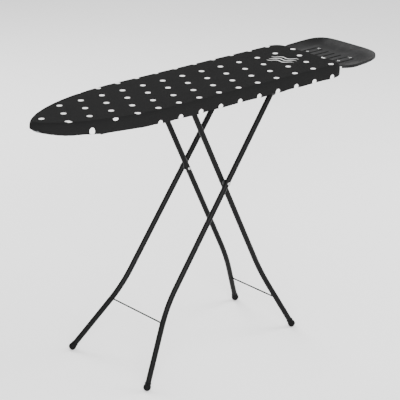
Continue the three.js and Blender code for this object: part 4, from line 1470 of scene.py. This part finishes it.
def make_stage():
    """Pale floor, bright surround, soft lights and the camera."""
    look = bpy.context.scene.board_stage
    floor = new_object("floor", [(-9, -9, 0), (9, -9, 0), (9, 9, 0), (-9, 9, 0)], [(0, 1, 2, 3)])
    pale = Finish("pale_floor")
    cloud = pale.grain(2, 2.0)
    floor.data.materials.append(pale.surface(
        Base_Color=pale.mix(cloud, (0.95, 0.95, 0.95, 1), (0.97, 0.97, 0.97, 1)), Roughness=0.9))
    world = bpy.data.worlds.new("surround")
    bpy.context.scene.world = world
    world.use_nodes = True
    surround = world.node_tree.nodes["Background"]
    surround.inputs["Color"].default_value = (1, 1, 1, 1)
    surround.inputs["Strength"].default_value = look.surround
    soft_light("key_light", (-2.6, -3.4, 2.1), 2.6, look.key_power)
    soft_light("fill_light", (3.2, -1.2, 2.2), 2.2, look.fill_power)
    soft_light("back_light", (0.4, 3.2, 2.8), 2.2, look.fill_power)
    camera = bpy.data.objects.new("camera", bpy.data.cameras.new("camera"))
    bpy.context.scene.collection.objects.link(camera)
    camera.location = look.camera_place
    camera.rotation_euler = look.camera_turn
    camera.data.lens = look.lens
    camera.data.sensor_width = 36
    bpy.context.scene.camera = camera


def soft_light(name, place, size, power):
    """A square soft light that faces the middle of the board."""
    light = bpy.data.lights.new(name, "AREA")
    light.size = size
    light.energy = power
    lamp = bpy.data.objects.new(name, light)
    bpy.context.scene.collection.objects.link(lamp)
    lamp.location = place
    lamp.rotation_euler = (Vector((0, 0, 0.5)) - Vector(place)).to_track_quat("-Z", "Y").to_euler()


# ---------- operators ----------

class BOARD_OT_stage(bpy.types.Operator):
    """Make the camera, floor, lights and finishes"""

    bl_idname = "ironing_board.stage"
    bl_label = "Stage and Finishes"

    def execute(self, context):
        make_stage()
        make_finishes()
        return {"FINISHED"}


class BOARD_OT_cover(bpy.types.Operator):
    """Make the cotton cover with its elastic and stitching"""

    bl_idname = "ironing_board.cover"
    bl_label = "Cotton Cover"

    def execute(self, context):
        cover, hem, extra, area = make_cover()
        stitching = make_stitching(hem)
        band = make_elastic(hem)
        flat = (2 * (HALF_WIDTH + extra), WIDE_X - NOSE_X + 2 * extra)
        return {"FINISHED"}


class BOARD_OT_deck(bpy.types.Operator):
    """Make the felt underlay, the expanded steel deck and its rolled rim"""

    bl_idname = "ironing_board.deck"
    bl_label = "Felt, Deck and Rim"

    def execute(self, context):
        make_felt()
        make_deck()
        make_rim()
        return {"FINISHED"}


class BOARD_OT_pressed_steel(bpy.types.Operator):
    """Make the channels, rails, brackets, rack and straps under the deck"""

    bl_idname = "ironing_board.pressed_steel"
    bl_label = "Pressed Steel"

    def execute(self, context):
        make_pressed_steel()
        return {"FINISHED"}


class BOARD_OT_frames(bpy.types.Operator):
    """Make the crossed tube frames with their braces and welds"""

    bl_idname = "ironing_board.frames"
    bl_label = "Crossed Frames"

    def execute(self, context):
        make_frames()
        return {"FINISHED"}


class BOARD_OT_fittings(bpy.types.Operator):
    """Make the rubber feet, pivot rivets, spacers and plugs"""

    bl_idname = "ironing_board.fittings"
    bl_label = "Feet, Rivets and Plugs"

    def execute(self, context):
        make_feet()
        make_pivots()
        return {"FINISHED"}


class BOARD_OT_latch(bpy.types.Operator):
    """Make the slide shoes and the height latch with its lever"""

    bl_idname = "ironing_board.latch"
    bl_label = "Slide and Height Latch"

    def execute(self, context):
        make_latch()
        return {"FINISHED"}


class BOARD_OT_iron_rest(bpy.types.Operator):
    """Make the iron rest with its ribs and screws"""

    bl_idname = "ironing_board.iron_rest"
    bl_label = "Iron Rest"

    def execute(self, context):
        make_tray()
        make_rest_ribs()
        make_tray_screws()
        return {"FINISHED"}


OPERATORS = (
    BOARD_OT_stage, BOARD_OT_deck, BOARD_OT_cover, BOARD_OT_pressed_steel, BOARD_OT_frames,
    BOARD_OT_fittings, BOARD_OT_latch, BOARD_OT_iron_rest)


class BOARD_PT_panel(bpy.types.Panel):
    """Lists the pieces of the ironing board"""

    bl_idname = "BOARD_PT_panel"
    bl_label = "Ironing Board"
    bl_space_type = "VIEW_3D"
    bl_region_type = "UI"
    bl_category = "Ironing Board"

    def draw(self, context):
        for operator in OPERATORS:
            self.layout.operator(operator.bl_idname)
        for settings in (context.scene.board_cover, context.scene.board_metal, context.scene.board_stage):
            column = self.layout.column()
            for name in settings.__annotations__:
                column.prop(settings, name)


SETTINGS = {"board_cover": CoverSettings, "board_metal": MetalSettings, "board_stage": StageSettings}
CLASSES = (*SETTINGS.values(), *OPERATORS, BOARD_PT_panel)


def register():
    for entry in CLASSES:
        bpy.utils.register_class(entry)
    for name, settings in SETTINGS.items():
        setattr(bpy.types.Scene, name, bpy.props.PointerProperty(type=settings))


def unregister():
    for name in SETTINGS:
        delattr(bpy.types.Scene, name)
    for entry in reversed(CLASSES):
        bpy.utils.unregister_class(entry)


def main():
    register()
    bpy.ops.ironing_board.stage()
    bpy.ops.ironing_board.deck()
    bpy.ops.ironing_board.cover()
    bpy.ops.ironing_board.pressed_steel()
    bpy.ops.ironing_board.frames()
    bpy.ops.ironing_board.fittings()
    bpy.ops.ironing_board.latch()
    bpy.ops.ironing_board.iron_rest()


if __name__ == "__main__":
    main()
